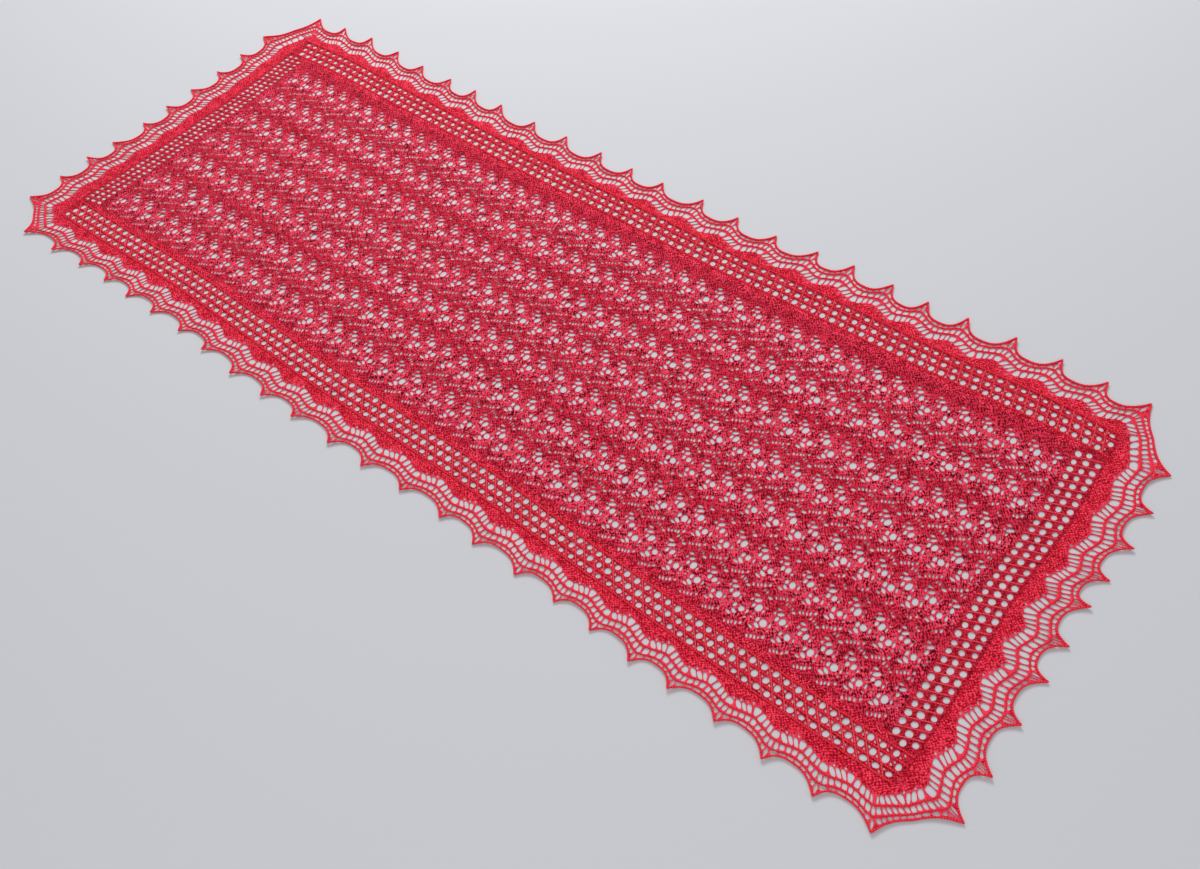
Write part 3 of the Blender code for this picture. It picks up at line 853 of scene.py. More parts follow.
class Level:
    """A number that varies over a surface: a node socket with Python's operators."""

    def __init__(self, desk: "NodeDesk", socket: bpy.types.NodeSocket) -> None:
        """Wrap a socket that belongs to the desk's tree."""
        self.desk = desk
        self.socket = socket

    def math(self, operation: str, *others: Any) -> "Level":
        """A Math node on this number and others."""
        values = {index: value for index, value in enumerate((self, *others))}
        return self.desk.level("ShaderNodeMath", {"operation": operation}, values)

    def __add__(self, other: Any) -> "Level":
        """Sum."""
        return self.math("ADD", other)

    def __radd__(self, other: Any) -> "Level":
        """Sum, reflected."""
        return self.math("ADD", other)

    def __sub__(self, other: Any) -> "Level":
        """Difference."""
        return self.math("SUBTRACT", other)

    def __rsub__(self, other: Any) -> "Level":
        """Difference, reflected."""
        return self.desk.level("ShaderNodeMath", {"operation": "SUBTRACT"}, {0: other, 1: self})

    def __mul__(self, other: Any) -> "Level":
        """Product."""
        return self.math("MULTIPLY", other)

    def __rmul__(self, other: Any) -> "Level":
        """Product, reflected."""
        return self.math("MULTIPLY", other)

    def __truediv__(self, other: Any) -> "Level":
        """Quotient."""
        return self.math("DIVIDE", other)

    def __pow__(self, other: Any) -> "Level":
        """Power."""
        return self.math("POWER", other)

    def __abs__(self) -> "Level":
        """Size without sign."""
        return self.math("ABSOLUTE")

    def cosine(self) -> "Level":
        """Cosine of the number in radians."""
        return self.math("COSINE")

    def clamped(self) -> "Level":
        """The number kept between 0 and 1."""
        return self.desk.level("ShaderNodeClamp", {}, {0: self})

    def step(self, low: float, high: float) -> "Level":
        """Rise smoothly from 0 at low to 1 at high."""
        settings = {"interpolation_type": "SMOOTHSTEP"}
        return self.desk.level("ShaderNodeMapRange", settings, {0: self, 1: low, 2: high, 3: 0.0, 4: 1.0})


class NodeDesk:
    """Makes the nodes of one tree, each with its settings first and then its sockets."""

    def __init__(self, tree: bpy.types.NodeTree) -> None:
        """Work on this tree."""
        self.tree = tree

    def make(self, kind: str, settings: dict[str, Any], values: dict[Any, Any]) -> bpy.types.Node:
        """Make one node.

        Args:
            kind: the node's type.
            settings: its properties.
            values: numbers, colours, links or materials for its inputs, by name or number.

        Returns:
            The node.
        """
        node = self.tree.nodes.new(kind)
        for name, value in settings.items():
            setattr(node, name, value)
        for name, value in values.items():
            socket = node.inputs[name]
            if isinstance(value, Level):
                value = value.socket
            if isinstance(value, bpy.types.NodeSocket):
                self.tree.links.new(value, socket)
            else:
                socket.default_value = value
        return node

    def level(self, kind: str, settings: dict[str, Any], values: dict[Any, Any], output: Any = 0) -> Level:
        """Make one node and wrap one of its outputs."""
        return Level(self, self.make(kind, settings, values).outputs[output])

    def pair(self, vector: bpy.types.NodeSocket) -> tuple[Level, Level]:
        """The first two parts of a vector."""
        parts = self.make("ShaderNodeSeparateXYZ", {}, {0: vector}).outputs
        return Level(self, parts[0]), Level(self, parts[1])

    def knit(self) -> tuple[Level, Level]:
        """The knitting's own coordinates: along its rows and across them."""
        return self.pair(self.make("ShaderNodeUVMap", {"uv_map": KNIT_UV}, {}).outputs[0])

    def noise(self, place: bpy.types.NodeSocket, scale: float, detail: float) -> bpy.types.Node:
        """Uneven noise over a surface."""
        return self.make("ShaderNodeTexNoise", {}, {"Vector": place, "Scale": scale, "Detail": detail})

    def mixed(self, share: Level, first: Any, second: Any) -> bpy.types.NodeSocket:
        """A colour that turns from the first to the second."""
        values = {"Factor": share, 6: first, 7: second}
        return self.make("ShaderNodeMix", {"data_type": "RGBA"}, values).outputs[2]

    def chance(self, kind: str, low: Any, high: Any, seed: Any) -> bpy.types.NodeSocket:
        """A random value of one data type for each point."""
        values = {"Min": low, "Max": high, "Seed": seed}
        node = self.make("FunctionNodeRandomValue", {"data_type": kind}, values)
        return next(output for output in node.outputs if output.enabled)


def geometry_tree(
    name: str, inputs: dict[str, tuple[str, Any]]
) -> tuple[NodeDesk, bpy.types.Node, dict[str, str]]:
    """Start a Geometry Nodes tree with named inputs.

    Args:
        name: the tree's name.
        inputs: for each named input its socket type and its default, or None.

    Returns:
        The desk, the input node and the inputs' identifiers by name.
    """
    tree = bpy.data.node_groups.new(name, "GeometryNodeTree")
    tree.interface.new_socket("Geometry", in_out="INPUT", socket_type="NodeSocketGeometry")
    identifiers = {}
    for label, (kind, default) in inputs.items():
        socket = tree.interface.new_socket(label, in_out="INPUT", socket_type=kind)
        if default is not None:
            socket.default_value = default
        identifiers[label] = socket.identifier
    tree.interface.new_socket("Geometry", in_out="OUTPUT", socket_type="NodeSocketGeometry")
    desk = NodeDesk(tree)
    return desk, desk.make("NodeGroupInput", {}, {}), identifiers


def close_tree(desk: NodeDesk, geometry: bpy.types.NodeSocket, material: bpy.types.NodeSocket) -> None:
    """End a tree in realized, smooth geometry that wears the material."""
    real = desk.make("GeometryNodeRealizeInstances", {}, {"Geometry": geometry})
    smooth = desk.make("GeometryNodeSetShadeSmooth", {}, {"Geometry": real.outputs[0]})
    dressed = desk.make("GeometryNodeSetMaterial", {}, {"Geometry": smooth.outputs[0], "Material": material})
    desk.make("NodeGroupOutput", {}, {0: dressed.outputs[0]})


def grown(
    name: str, base: bpy.types.Mesh, desk: NodeDesk, identifiers: dict[str, str], values: dict[str, Any]
) -> bpy.types.Object:
    """Run a Geometry Nodes tree on a mesh and keep the result as a plain mesh object.

    Args:
        name: the finished object's name.
        base: the mesh that the tree works on.
        desk: the desk of the tree.
        identifiers: the tree's input identifiers by name.
        values: a value for each input.

    Returns:
        The finished object.
    """
    holder = linked(f"{name}_path", base)
    modifier = holder.modifiers.new("grow", "NODES")
    modifier.node_group = desk.tree
    for label, value in values.items():
        modifier[identifiers[label]] = value
    bpy.context.view_layer.update()
    graph = bpy.context.evaluated_depsgraph_get()
    mesh = bpy.data.meshes.new_from_object(holder.evaluated_get(graph), depsgraph=graph)
    mesh.name = name
    piece = linked(name, mesh)
    bpy.data.objects.remove(holder, do_unlink=True)
    return piece


# ---------------------------------------------------------------- yarn finishes


class Stitch(Enum):
    """How a stretch of knitting is worked, which sets its fine texture."""

    WAVE = "wave lace"
    GARTER = "garter"
    CHAIN = "bound-off chain"


# Where the border's mesh begins and stops across the long sides, and begins at the two ends.
MESH_BEGINS = (0.241, 0.247)
MESH_STOPS = (0.284, 0.290)
END_MESH_BEGINS = (0.772, 0.779)


@dataclass(frozen=True, kw_only=True)
class Mohair:
    """Mohair as loose fibre: its colour and its soft sheen."""

    name: str
    base: Colour
    sheen: float = 0.10
    sheen_roughness: float = 0.45
    sheen_tint: Colour = (1.0, 0.42, 0.55, 1.0)
    gleam: float = 0.10
    roughness: float = 0.6

    def with_sheen(self) -> tuple[bpy.types.Material, bpy.types.Node]:
        """A new material with the sheen of mohair, and its shader."""
        material = bpy.data.materials.new(self.name)
        material.use_nodes = True
        shader = material.node_tree.nodes["Principled BSDF"]
        shader.inputs["Sheen Weight"].default_value = self.sheen
        shader.inputs["Sheen Roughness"].default_value = self.sheen_roughness
        shader.inputs["Sheen Tint"].default_value = self.sheen_tint
        shader.inputs["Specular IOR Level"].default_value = self.gleam
        return material, shader

    def material(self) -> bpy.types.Material:
        """The loose fibre as a material."""
        material, shader = self.with_sheen()
        shader.inputs["Base Color"].default_value = self.base
        shader.inputs["Roughness"].default_value = self.roughness
        return material


@dataclass(frozen=True, kw_only=True)
class Yarn(Mohair):
    """A mohair and wool yarn as knitted: its colour, its painted highlight and painted shade, its stitch
    size and its unevenness.

    The slant is the cosine and sine of the angle at which the stitches of the waves run. Pairs of
    limits are the heights of the stitches' relief between which the painted highlight and the painted
    shade set in.
    """

    stitch: Stitch
    painted_highlight: Colour
    shade: Colour
    stitch_width: float = 3.4 * MM
    stitch_length: float = 5.4 * MM
    slant: tuple[float, float] = (0.77, 0.64)
    stray: float = 2.4
    stray_scales: tuple[float, float] = (120.0, 24.0)
    fluff_scale: float = 420.0
    fluff: float = 1.4
    patch_scale: float = 60.0
    patch: float = 0.6
    lit_between: tuple[float, float] = (0.52, 0.78)
    dark_between: tuple[float, float] = (0.24, 0.46)
    chain_lit_between: tuple[float, float] = (0.45, 1.05)
    chain_dark_between: tuple[float, float] = (0.20, 0.62)
    calm_peak: float = 0.40
    rim_light: float = 0.6
    has_mesh: bool = False
    bump_strength: float = 0.7
    bump_depth: float = 0.8 * MM

    def knit_axes(self, desk: NodeDesk) -> tuple[Level, Level]:
        """Two numbers that count stitches across and along the strands, astray like handwork."""
        along, across = desk.knit()
        if self.stitch is Stitch.CHAIN:
            return along / self.stitch_length + across / self.stitch_width, across / self.stitch_width
        place = desk.make("ShaderNodeTexCoord", {}, {}).outputs["Object"]
        near, wide = (desk.noise(place, scale, 1.0) for scale in self.stray_scales)
        slip, bend = desk.pair(near.outputs["Color"]), desk.pair(wide.outputs["Color"])
        first = slip[0] * self.stray + bend[0] * 2.0 * self.stray
        second = slip[1] * self.stray + bend[1] * self.stray
        if self.stitch is Stitch.WAVE:
            cosine, sine = self.slant
            return (
                (along * cosine + across * sine) / self.stitch_width + first,
                (along * sine - across * cosine) / self.stitch_length + second,
            )
        return along / self.stitch_width + first, across / self.stitch_length + second

    @staticmethod
    def band(desk: NodeDesk, peak: float) -> Level:
        """A soft wavy band in each wave of the panel, at a share of the pitch above its middle."""
        along, across = desk.knit()
        swing = (along * (TAU / REPEAT_PITCH)).cosine() * 0.05
        return ((across / WAVE_PITCH - peak + swing) * TAU).cosine() * 0.5 + 0.5

    @staticmethod
    def mesh_zone(desk: NodeDesk) -> Level:
        """1 where the border is worked in mesh, 0 in its garter band."""
        out = abs(desk.knit()[1])
        long_side = out.step(*MESH_BEGINS) * (1.0 - out.step(*MESH_STOPS))
        return long_side + out.step(*END_MESH_BEGINS)

    def chain_tones(self, desk: NodeDesk, place: bpy.types.NodeSocket, first: Level) -> tuple[Level, ...]:
        """Height of a chain's stitches, with a painted highlight on their tops and painted shade between
        them.
        """
        height = (first * TAU).cosine() * 0.5 + 0.5
        fluff = Level(desk, desk.noise(place, 300.0, 2.0).outputs[0])
        lit = (height * 0.6 + fluff * 0.8).step(*self.chain_lit_between)
        dark = (1.0 - (height + fluff * 0.7).step(*self.chain_dark_between)) * 0.75
        return height, lit, dark

    def cloth_tones(
        self, desk: NodeDesk, place: bpy.types.NodeSocket, first: Level, second: Level
    ) -> tuple[Level, ...]:
        """Height of knitted cloth's stitches, with a painted highlight on their tops and painted shade in
        their hollows; rims of gaps get more painted highlight and less painted shade.
        """
        fluff = Level(desk, desk.noise(place, self.fluff_scale, 1.0).outputs[0])
        patch = Level(desk, desk.noise(place, self.patch_scale, 2.0).outputs[0])
        rim_highlight = desk.level("ShaderNodeAttribute", {"attribute_name": RIM_HIGHLIGHT}, {}, "Fac") ** 3.0
        one, other = (first * TAU).cosine(), (second * TAU).cosine()
        relief = one * 0.28 + other * 0.20 if self.stitch is Stitch.WAVE else one * other * 0.28
        height = relief + (fluff - 0.5) * self.fluff + (patch - 0.5) * self.patch + 0.5
        # Painted highlight where the relief is high and painted shade where it is low; the rims of gaps get
        # more painted highlight and less painted shade.
        lit = (height.step(*self.lit_between) + rim_highlight * self.rim_light).clamped()
        dark = (1.0 - height.step(*self.dark_between)) * (1.0 - rim_highlight * 0.85)
        # On the panel's ridges between the waves the painted highlight and the painted shade are both
        # weaker.
        if self.stitch is Stitch.WAVE:
            calm = self.band(desk, self.calm_peak) ** 2.0
            lit = lit * (1.0 - calm * 0.6)
            dark = dark * (1.0 - calm * 0.25)
        # In the border's mesh the painted highlight is weaker and the painted shade stronger.
        if self.has_mesh:
            mesh = self.mesh_zone(desk)
            lit = lit * (1.0 - mesh * 0.55)
            dark = (dark + mesh * (1.0 - rim_highlight) * 0.25).clamped()
        return height, lit, dark

    def material(self) -> bpy.types.Material:
        """The yarn as a material."""
        material, shader = self.with_sheen()
        desk = NodeDesk(material.node_tree)
        first, second = self.knit_axes(desk)
        place = desk.make("ShaderNodeTexCoord", {}, {}).outputs["Object"]
        if self.stitch is Stitch.CHAIN:
            height, lit, dark = self.chain_tones(desk, place, first)
        else:
            height, lit, dark = self.cloth_tones(desk, place, first, second)
        # The base colour, turned towards the painted highlight where lit and towards the painted shade where
        # dark.
        colour = desk.mixed(dark, desk.mixed(lit, self.base, self.painted_highlight), self.shade)
        roughness = 0.90 - 0.25 * lit
        values = {"Strength": self.bump_strength, "Distance": self.bump_depth, "Height": height}
        bump = desk.make("ShaderNodeBump", {}, values)
        material.node_tree.links.new(colour, shader.inputs["Base Color"])
        material.node_tree.links.new(roughness.socket, shader.inputs["Roughness"])
        material.node_tree.links.new(bump.outputs[0], shader.inputs["Normal"])
        return material


# All pieces are of one red yarn: each highlight colour is a painted highlight on the stitches' tops, each
# shade colour a painted shade in their hollows and between stitches.
PANEL_YARN = Yarn(
    name="panel_yarn",
    stitch=Stitch.WAVE,
    base=(0.54, 0.007, 0.028, 1.0),
    painted_highlight=(1.00, 0.066, 0.135, 1.0),
    shade=(0.02, 0.001, 0.004, 1.0),
    fluff_scale=300.0,
    fluff=1.6,
)
BORDER_YARN = Yarn(
    name="border_yarn",
    stitch=Stitch.GARTER,
    base=(0.58, 0.007, 0.028, 1.0),
    painted_highlight=(1.00, 0.066, 0.130, 1.0),
    shade=(0.16, 0.002, 0.008, 1.0),
    stitch_width=4.8 * MM,
    stitch_length=4.8 * MM,
    stray=1.35,
    rim_light=0.25,
    has_mesh=True,
)
EDGING_YARN = Yarn(
    name="edging_yarn",
    stitch=Stitch.GARTER,
    base=(0.66, 0.008, 0.028, 1.0),
    painted_highlight=(1.00, 0.060, 0.115, 1.0),
    shade=(0.26, 0.003, 0.012, 1.0),
    stitch_width=4.8 * MM,
    stitch_length=4.8 * MM,
    stray=1.35,
)
# The ridges, the chains and cord, and the mesh's strands are brighter copies of the same yarn: a painted
# highlight on raised yarn.
RIDGE_YARN = Yarn(
    name="ridge_yarn",
    stitch=Stitch.CHAIN,
    base=(0.92, 0.013, 0.034, 1.0),
    painted_highlight=(1.00, 0.050, 0.085, 1.0),
    shade=(0.55, 0.005, 0.016, 1.0),
    stitch_width=4.0 * MM,
    stitch_length=4.4 * MM,
)
CHAIN_YARN = Yarn(
    name="chain_yarn",
    stitch=Stitch.CHAIN,
    base=(0.92, 0.013, 0.034, 1.0),
    painted_highlight=(1.00, 0.060, 0.095, 1.0),
    shade=(0.50, 0.005, 0.014, 1.0),
    stitch_width=8.0 * MM,
    stitch_length=3.4 * MM,
)
STRAND_YARN = Yarn(
    name="strand_yarn",
    stitch=Stitch.CHAIN,
    base=(1.00, 0.045, 0.070, 1.0),
    painted_highlight=(1.00, 0.130, 0.190, 1.0),
    shade=(0.80, 0.016, 0.030, 1.0),
    stitch_width=8.0 * MM,
    stitch_length=3.4 * MM,
)
HALO_YARN = Mohair(name="halo_yarn", base=(0.85, 0.085, 0.140, 1.0))


# ---------------------------------------------------------------- cords, ridges and fibres


@dataclass(frozen=True)
class Path:
    """A line that a cord follows, in place, open or closed."""

    points: np.ndarray
    closed: bool


def path_mesh(name: str, paths: Sequence[Path]) -> bpy.types.Mesh:
    """A mesh of edges along the paths."""
    places: list[np.ndarray] = []
    edges: list[tuple[int, int]] = []
    count = 0
    for path in paths:
        length = len(path.points)
        last = length if path.closed else length - 1
        edges += [(count + step, count + (step + 1) % length) for step in range(last)]
        places.append(path.points)
        count += length
    mesh = bpy.data.meshes.new(name)
    mesh.from_pydata(np.vstack(places).tolist(), edges, [])
    return mesh


@dataclass(frozen=True)
class CordMaker:
    """Sweeps a round cord of yarn along paths."""

    radius: float
    sides: int

    def sweep(self, name: str, paths: Sequence[Path], material: bpy.types.Material) -> bpy.types.Object:
        """Make one cord piece.

        Args:
            name: the piece's name.
            paths: the lines that it follows.
            material: its yarn.

        Returns:
            The finished object.
        """
        desk, given, identifiers = geometry_tree(
            f"{name}_sweep",
            {
                "Radius": ("NodeSocketFloat", self.radius),
                "Sides": ("NodeSocketInt", self.sides),
                "Yarn": ("NodeSocketMaterial", None),
            },
        )
        curve = desk.make("GeometryNodeMeshToCurve", {}, {0: given.outputs["Geometry"]})
        upright = desk.make("GeometryNodeSetCurveNormal", {"mode": "Z_UP"}, {"Curve": curve.outputs[0]})
        circle = desk.make(
            "GeometryNodeCurvePrimitiveCircle",
            {},
            {"Resolution": given.outputs["Sides"], "Radius": given.outputs["Radius"]},
        )
        measured = self.measured(desk, upright.outputs[0], "Length")
        round_measured = self.measured(desk, circle.outputs[0], "Factor")
        tube = desk.make(
            "GeometryNodeCurveToMesh",
            {},
            {"Curve": measured.outputs[0], "Profile Curve": round_measured.outputs[0], "Fill Caps": True},
        )
        pair = desk.make("ShaderNodeCombineXYZ", {}, {0: measured.outputs[1], 1: round_measured.outputs[1]})
        scale = (1.0, TAU * self.radius, 0.0)
        scaled = desk.make("ShaderNodeVectorMath", {"operation": "MULTIPLY"}, {0: pair.outputs[0], 1: scale})
        stored = desk.make(
            "GeometryNodeStoreNamedAttribute",
            {"data_type": "FLOAT2", "domain": "CORNER"},
            {"Geometry": tube.outputs[0], "Name": KNIT_UV, "Value": scaled.outputs[0]},
        )
        close_tree(desk, stored.outputs[0], given.outputs["Yarn"])
        values = {"Radius": self.radius, "Sides": self.sides, "Yarn": material}
        return grown(name, path_mesh(f"{name}_line", paths), desk, identifiers, values)

    @staticmethod
    def measured(desk: NodeDesk, curve: bpy.types.NodeSocket, measure: str) -> bpy.types.Node:
        """Note on a curve how far along it each point lies."""
        parameter = desk.make("GeometryNodeSplineParameter", {}, {})
        node = desk.tree.nodes.new("GeometryNodeCaptureAttribute")
        node.capture_items.new("FLOAT", measure)
        desk.tree.links.new(curve, node.inputs[0])
        desk.tree.links.new(parameter.outputs[measure], node.inputs[1])
        return node


@dataclass(frozen=True)
class PurlRidge:
    """Lays a row of purl bumps along paths."""

    pitch: float = 3.3 * MM
    bump_length: float = 4.8 * MM
    bump_width: float = 2.6 * MM
    bump_height: float = 2.0 * MM
    bluntness: float = 0.6
    fullness: float = 1.3
    unevenness: float = 0.16
    seed: int = 11

    def bump(self) -> bpy.types.Object:
        """One purl bump: a small bean of 24 faces."""
        rings = 3
        sides = 4
        places = [(-self.bump_length / 2.0, 0.0, 0.0)]
        for ring in range(rings):
            share = (ring + 1) / (rings + 1)
            swell = math.sin(math.pi * share) ** self.bluntness
            for side in range(sides):
                angle = TAU * (side + 0.5) / sides
                across = self.bump_width / 2.0 * math.cos(angle) * swell * self.fullness
                up = self.bump_height / 2.0 * math.sin(angle) * swell * self.fullness
                places.append(((share - 0.5) * self.bump_length, across, up))
        places.append((self.bump_length / 2.0, 0.0, 0.0))
        last = len(places) - 1
        faces = []
        for side in range(sides):
            following = (side + 1) % sides
            faces.append((0, 1 + following, 1 + side))
            for ring in range(rings - 1):
                low, high = 1 + ring * sides, 1 + (ring + 1) * sides
                faces.append((low + side, low + following, high + following))
                faces.append((low + side, high + following, high + side))
            top = 1 + (rings - 1) * sides
            faces.append((top + side, top + following, last))
        mesh = mesh_from("purl_bump", np.array(places), np.array(faces))
        add_uv(mesh, np.array(places)[:, :2] + 0.5 * MM)
        return linked("purl_bump", mesh)

    def lay(self, name: str, paths: Sequence[Path], material: bpy.types.Material) -> bpy.types.Object:
        """Make one piece of ridges.

        Args:
            name: the piece's name.
            paths: the lines that the ridges follow.
            material: its yarn.

        Returns:
            The finished object.
        """
        desk, given, identifiers = geometry_tree(
            f"{name}_lay",
            {
                "Pitch": ("NodeSocketFloat", self.pitch),
                "Bump": ("NodeSocketObject", None),
                "Unevenness": ("NodeSocketFloat", self.unevenness),
                "Yarn": ("NodeSocketMaterial", None),
            },
        )
        curve = desk.make("GeometryNodeMeshToCurve", {}, {0: given.outputs["Geometry"]})
        even = desk.make(
            "GeometryNodeResampleCurve",
            {"mode": "LENGTH"},
            {"Curve": curve.outputs[0], "Length": given.outputs["Pitch"]},
        )
        shape = desk.make("GeometryNodeObjectInfo", {}, {"Object": given.outputs["Bump"]})
        tangent = desk.make("GeometryNodeInputTangent", {}, {})
        along = desk.make("FunctionNodeAlignRotationToVector", {"axis": "X"}, {"Vector": tangent.outputs[0]})
        uneven = Level(desk, given.outputs["Unevenness"])
        placed = desk.make(
            "GeometryNodeInstanceOnPoints",
            {},
            {
                "Points": even.outputs[0],
                "Instance": shape.outputs["Geometry"],
                "Rotation": along.outputs[0],
                "Scale": desk.chance("FLOAT", 1.0 - uneven, 1.0 + uneven, self.seed),
            },
        )
        close_tree(desk, placed.outputs[0], given.outputs["Yarn"])
        bump = self.bump()
        values = {"Pitch": self.pitch, "Bump": bump, "Unevenness": self.unevenness, "Yarn": material}
        piece = grown(name, path_mesh(f"{name}_line", paths), desk, identifiers, values)
        bpy.data.objects.remove(bump, do_unlink=True)
        return piece


@dataclass(frozen=True)
class MohairHalo:
    """Scatters loose mohair fibres over finished pieces, on what faces up.

    A fibre leans up to the pitch, dips up to the dip and rolls up to the roll, in radians. Its
    taper, curl and sway are shares of its radius and length.
    """

    per_area: float
    length: float
    bow: float
    pitch: float
    dip: float = 0.02
    roll: float = 0.6
    least_size: float = 0.45
    least_upright: float = 0.4
    taper: float = 0.8
    curl: float = 0.12
    sway: float = 0.16
    sway_turn: float = 2.6
    bow_turn: float = 2.2
    radius: float = 0.055 * MM
    seed: int = 5

    def fibre(self) -> bpy.types.Object:
        """One bent fibre, a tapering three-sided tube."""
        steps = 5
        places, faces = [], []
        for step in range(steps):
            share = step / (steps - 1)
            thin = self.radius * (1.0 - self.taper * share)
            x = self.length * (share - self.curl * share**2)
            y = self.length * self.sway * math.sin(self.sway_turn * share)
            z = self.length * self.bow * math.sin(self.bow_turn * share)
            for side in range(3):
                angle = TAU * side / 3
                places.append((x, y + thin * math.cos(angle), z + thin * math.sin(angle)))
        for step in range(steps - 1):
            for side in range(3):
                a, b = 3 * step + side, 3 * step + (side + 1) % 3
                faces += [(a, b, b + 3), (a, b + 3, a + 3)]
        last = 3 * (steps - 1)
        faces += [(0, 2, 1), (last, last + 1, last + 2)]
        mesh = mesh_from("fibre", np.array(places), np.array(faces))
        return linked("fibre", mesh)

    def grow(
        self, name: str, carriers: Sequence[bpy.types.Object], material: bpy.types.Material
    ) -> bpy.types.Object:
        """Make one piece of loose fibres.

        Args:
            name: the piece's name.
            carriers: the pieces that the fibres stand on.
            material: their yarn.

        Returns:
            The finished object.
        """
        desk, given, identifiers = geometry_tree(
            f"{name}_grow",
            {
                "Density": ("NodeSocketFloat", self.per_area),
                "Fibre": ("NodeSocketObject", None),
                "Seed": ("NodeSocketInt", self.seed),
                "Yarn": ("NodeSocketMaterial", None),
            },
        )
        joined = desk.make("GeometryNodeJoinGeometry", {}, {})
        for carrier in carriers:
            shown = desk.make("GeometryNodeObjectInfo", {}, {"Object": carrier})
            desk.tree.links.new(shown.outputs["Geometry"], joined.inputs[0])
        normal = desk.make("GeometryNodeInputNormal", {}, {})
        upward = desk.make("ShaderNodeSeparateXYZ", {}, {0: normal.outputs[0]})
        limits = {0: upward.outputs[2], 1: self.least_upright}
        on_top = desk.make("FunctionNodeCompare", {"operation": "GREATER_THAN"}, limits)
        scattered = desk.make(
            "GeometryNodeDistributePointsOnFaces",
            {},
            {
                "Mesh": joined.outputs[0],
                "Selection": on_top.outputs[0],
                "Density": given.outputs["Density"],
                "Seed": given.outputs["Seed"],
            },
        )
        shape = desk.make("GeometryNodeObjectInfo", {}, {"Object": given.outputs["Fibre"]})
        low, high = (-self.roll, -self.pitch, 0.0), (self.roll, self.dip, TAU)
        turn = desk.chance("FLOAT_VECTOR", low, high, given.outputs["Seed"])
        size = desk.chance("FLOAT", self.least_size, 1.0, self.seed + 1)
        placed = desk.make(
            "GeometryNodeInstanceOnPoints",
            {},
            {
                "Points": scattered.outputs[0],
                "Instance": shape.outputs["Geometry"],
                "Rotation": turn,
                "Scale": size,
            },
        )
        close_tree(desk, placed.outputs[0], given.outputs["Yarn"])
        fibre = self.fibre()
        values = {"Density": self.per_area, "Fibre": fibre, "Seed": self.seed, "Yarn": material}
        start = bpy.data.meshes.new(f"{name}_start")
        piece = grown(name, start, desk, identifiers, values)
        bpy.data.objects.remove(fibre, do_unlink=True)
        return piece


# ---------------------------------------------------------------- the knitted pieces


def spread(start: float, end: float, step: float) -> np.ndarray:
    """Even places from start to end, both included, about a step apart."""
    return np.linspace(start, end, max(2, int(round(abs(end - start) / step)) + 1))


def rectangle(half_u: float, low: float, high: float, step: float) -> np.ndarray:
    """A counter-clockwise rectangle in the plan, with points about a step apart."""
    along, across = spread(-half_u, half_u, step), spread(low, high, step)
    return np.vstack(
        (
            np.column_stack((along[:-1], np.full(len(along) - 1, low))),
            np.column_stack((np.full(len(across) - 1, half_u), across[:-1])),
            np.column_stack((along[:0:-1], np.full(len(along) - 1, high))),
            np.column_stack((np.full(len(across) - 1, -half_u), across[:0:-1])),
        )
    )


def seam(half_u: float, half_v: float) -> np.ndarray:
    """The rectangle of a seam round the stole's middle."""
    return rectangle(half_u, -half_v, half_v, SEAM_STEP)


def loose_points(low: Sequence[float], high: Sequence[float], step: float, seed: int) -> np.ndarray:
    """Plan points strewn over a rectangle on a shaken grid about a step apart."""
    random = np.random.default_rng(seed)
    u, v = np.meshgrid(
        np.arange(low[0] + step / 2.0, high[0], step), np.arange(low[1] + step / 2.0, high[1], step)
    )
    points = np.column_stack((u.ravel(), v.ravel()))
    return points + random.uniform(-0.3, 0.3, points.shape) * step


@dataclass(frozen=True)
class Eyelet:
    """One gap of the wave motif, in millimetres from the motif's lower eyelet, and its corners."""

    along: float
    across: float
    half_along: float
    half_across: float
    tilt: float
    sides: int


WAVE_MOTIF = (
    Eyelet(0.0, 0.0, 5.2, 4.2, 112.0, 12),
    Eyelet(-8.6, 0.4, 4.0, 2.6, 95.0, 9),
    Eyelet(-6.3, -8.0, 5.0, 2.6, -35.0, 9),
    Eyelet(-10.4, -13.2, 4.2, 2.0, -15.0, 8),
    Eyelet(8.2, 0.8, 3.8, 1.6, 100.0, 7),
    Eyelet(9.6, -7.0, 1.6, 1.3, 0.0, 6),
    Eyelet(-17.6, 3.2, 1.5, 1.2, 0.0, 6),
    Eyelet(-17.4, -1.8, 1.5, 1.2, 0.0, 6),
    Eyelet(-16.4, 13.8, 5.2, 3.9, 80.0, 12),
    Eyelet(-24.4, 13.6, 3.7, 2.4, 95.0, 9),
    Eyelet(-23.0, 21.9, 5.0, 2.7, 33.0, 9),
    Eyelet(-30.3, 20.2, 2.6, 1.8, 80.0, 7),
    Eyelet(-27.9, 27.6, 3.6, 2.0, 8.0, 8),
    Eyelet(-9.4, 12.4, 2.9, 1.5, 95.0, 7),
    Eyelet(-8.2, 19.2, 1.4, 1.2, 0.0, 6),
    Eyelet(-12.0, -31.5, 3.2, 2.1, 0.0, 8),
    Eyelet(-6.4, -26.6, 2.9, 1.3, 125.0, 7),
    Eyelet(-2.2, -24.6, 2.9, 1.3, 122.0, 7),
    Eyelet(1.8, -22.6, 2.9, 1.4, 118.0, 7),
    Eyelet(5.9, -20.9, 2.9, 1.5, 110.0, 7),
    Eyelet(11.2, -16.8, 2.6, 1.8, 85.0, 7),
    Eyelet(-24.6, 38.3, 2.9, 1.3, 80.0, 7),
    Eyelet(-20.2, 38.0, 2.9, 1.3, 88.0, 7),
    Eyelet(-16.0, 36.2, 2.9, 1.3, 96.0, 7),
    Eyelet(3.2, 9.4, 1.3, 1.0, 40.0, 5),
    Eyelet(-1.6, -13.6, 1.3, 1.0, 120.0, 5),
    Eyelet(-27.6, 6.6, 1.2, 1.0, 60.0, 5),
    Eyelet(-15.2, 26.4, 1.3, 0.9, 30.0, 5),
)


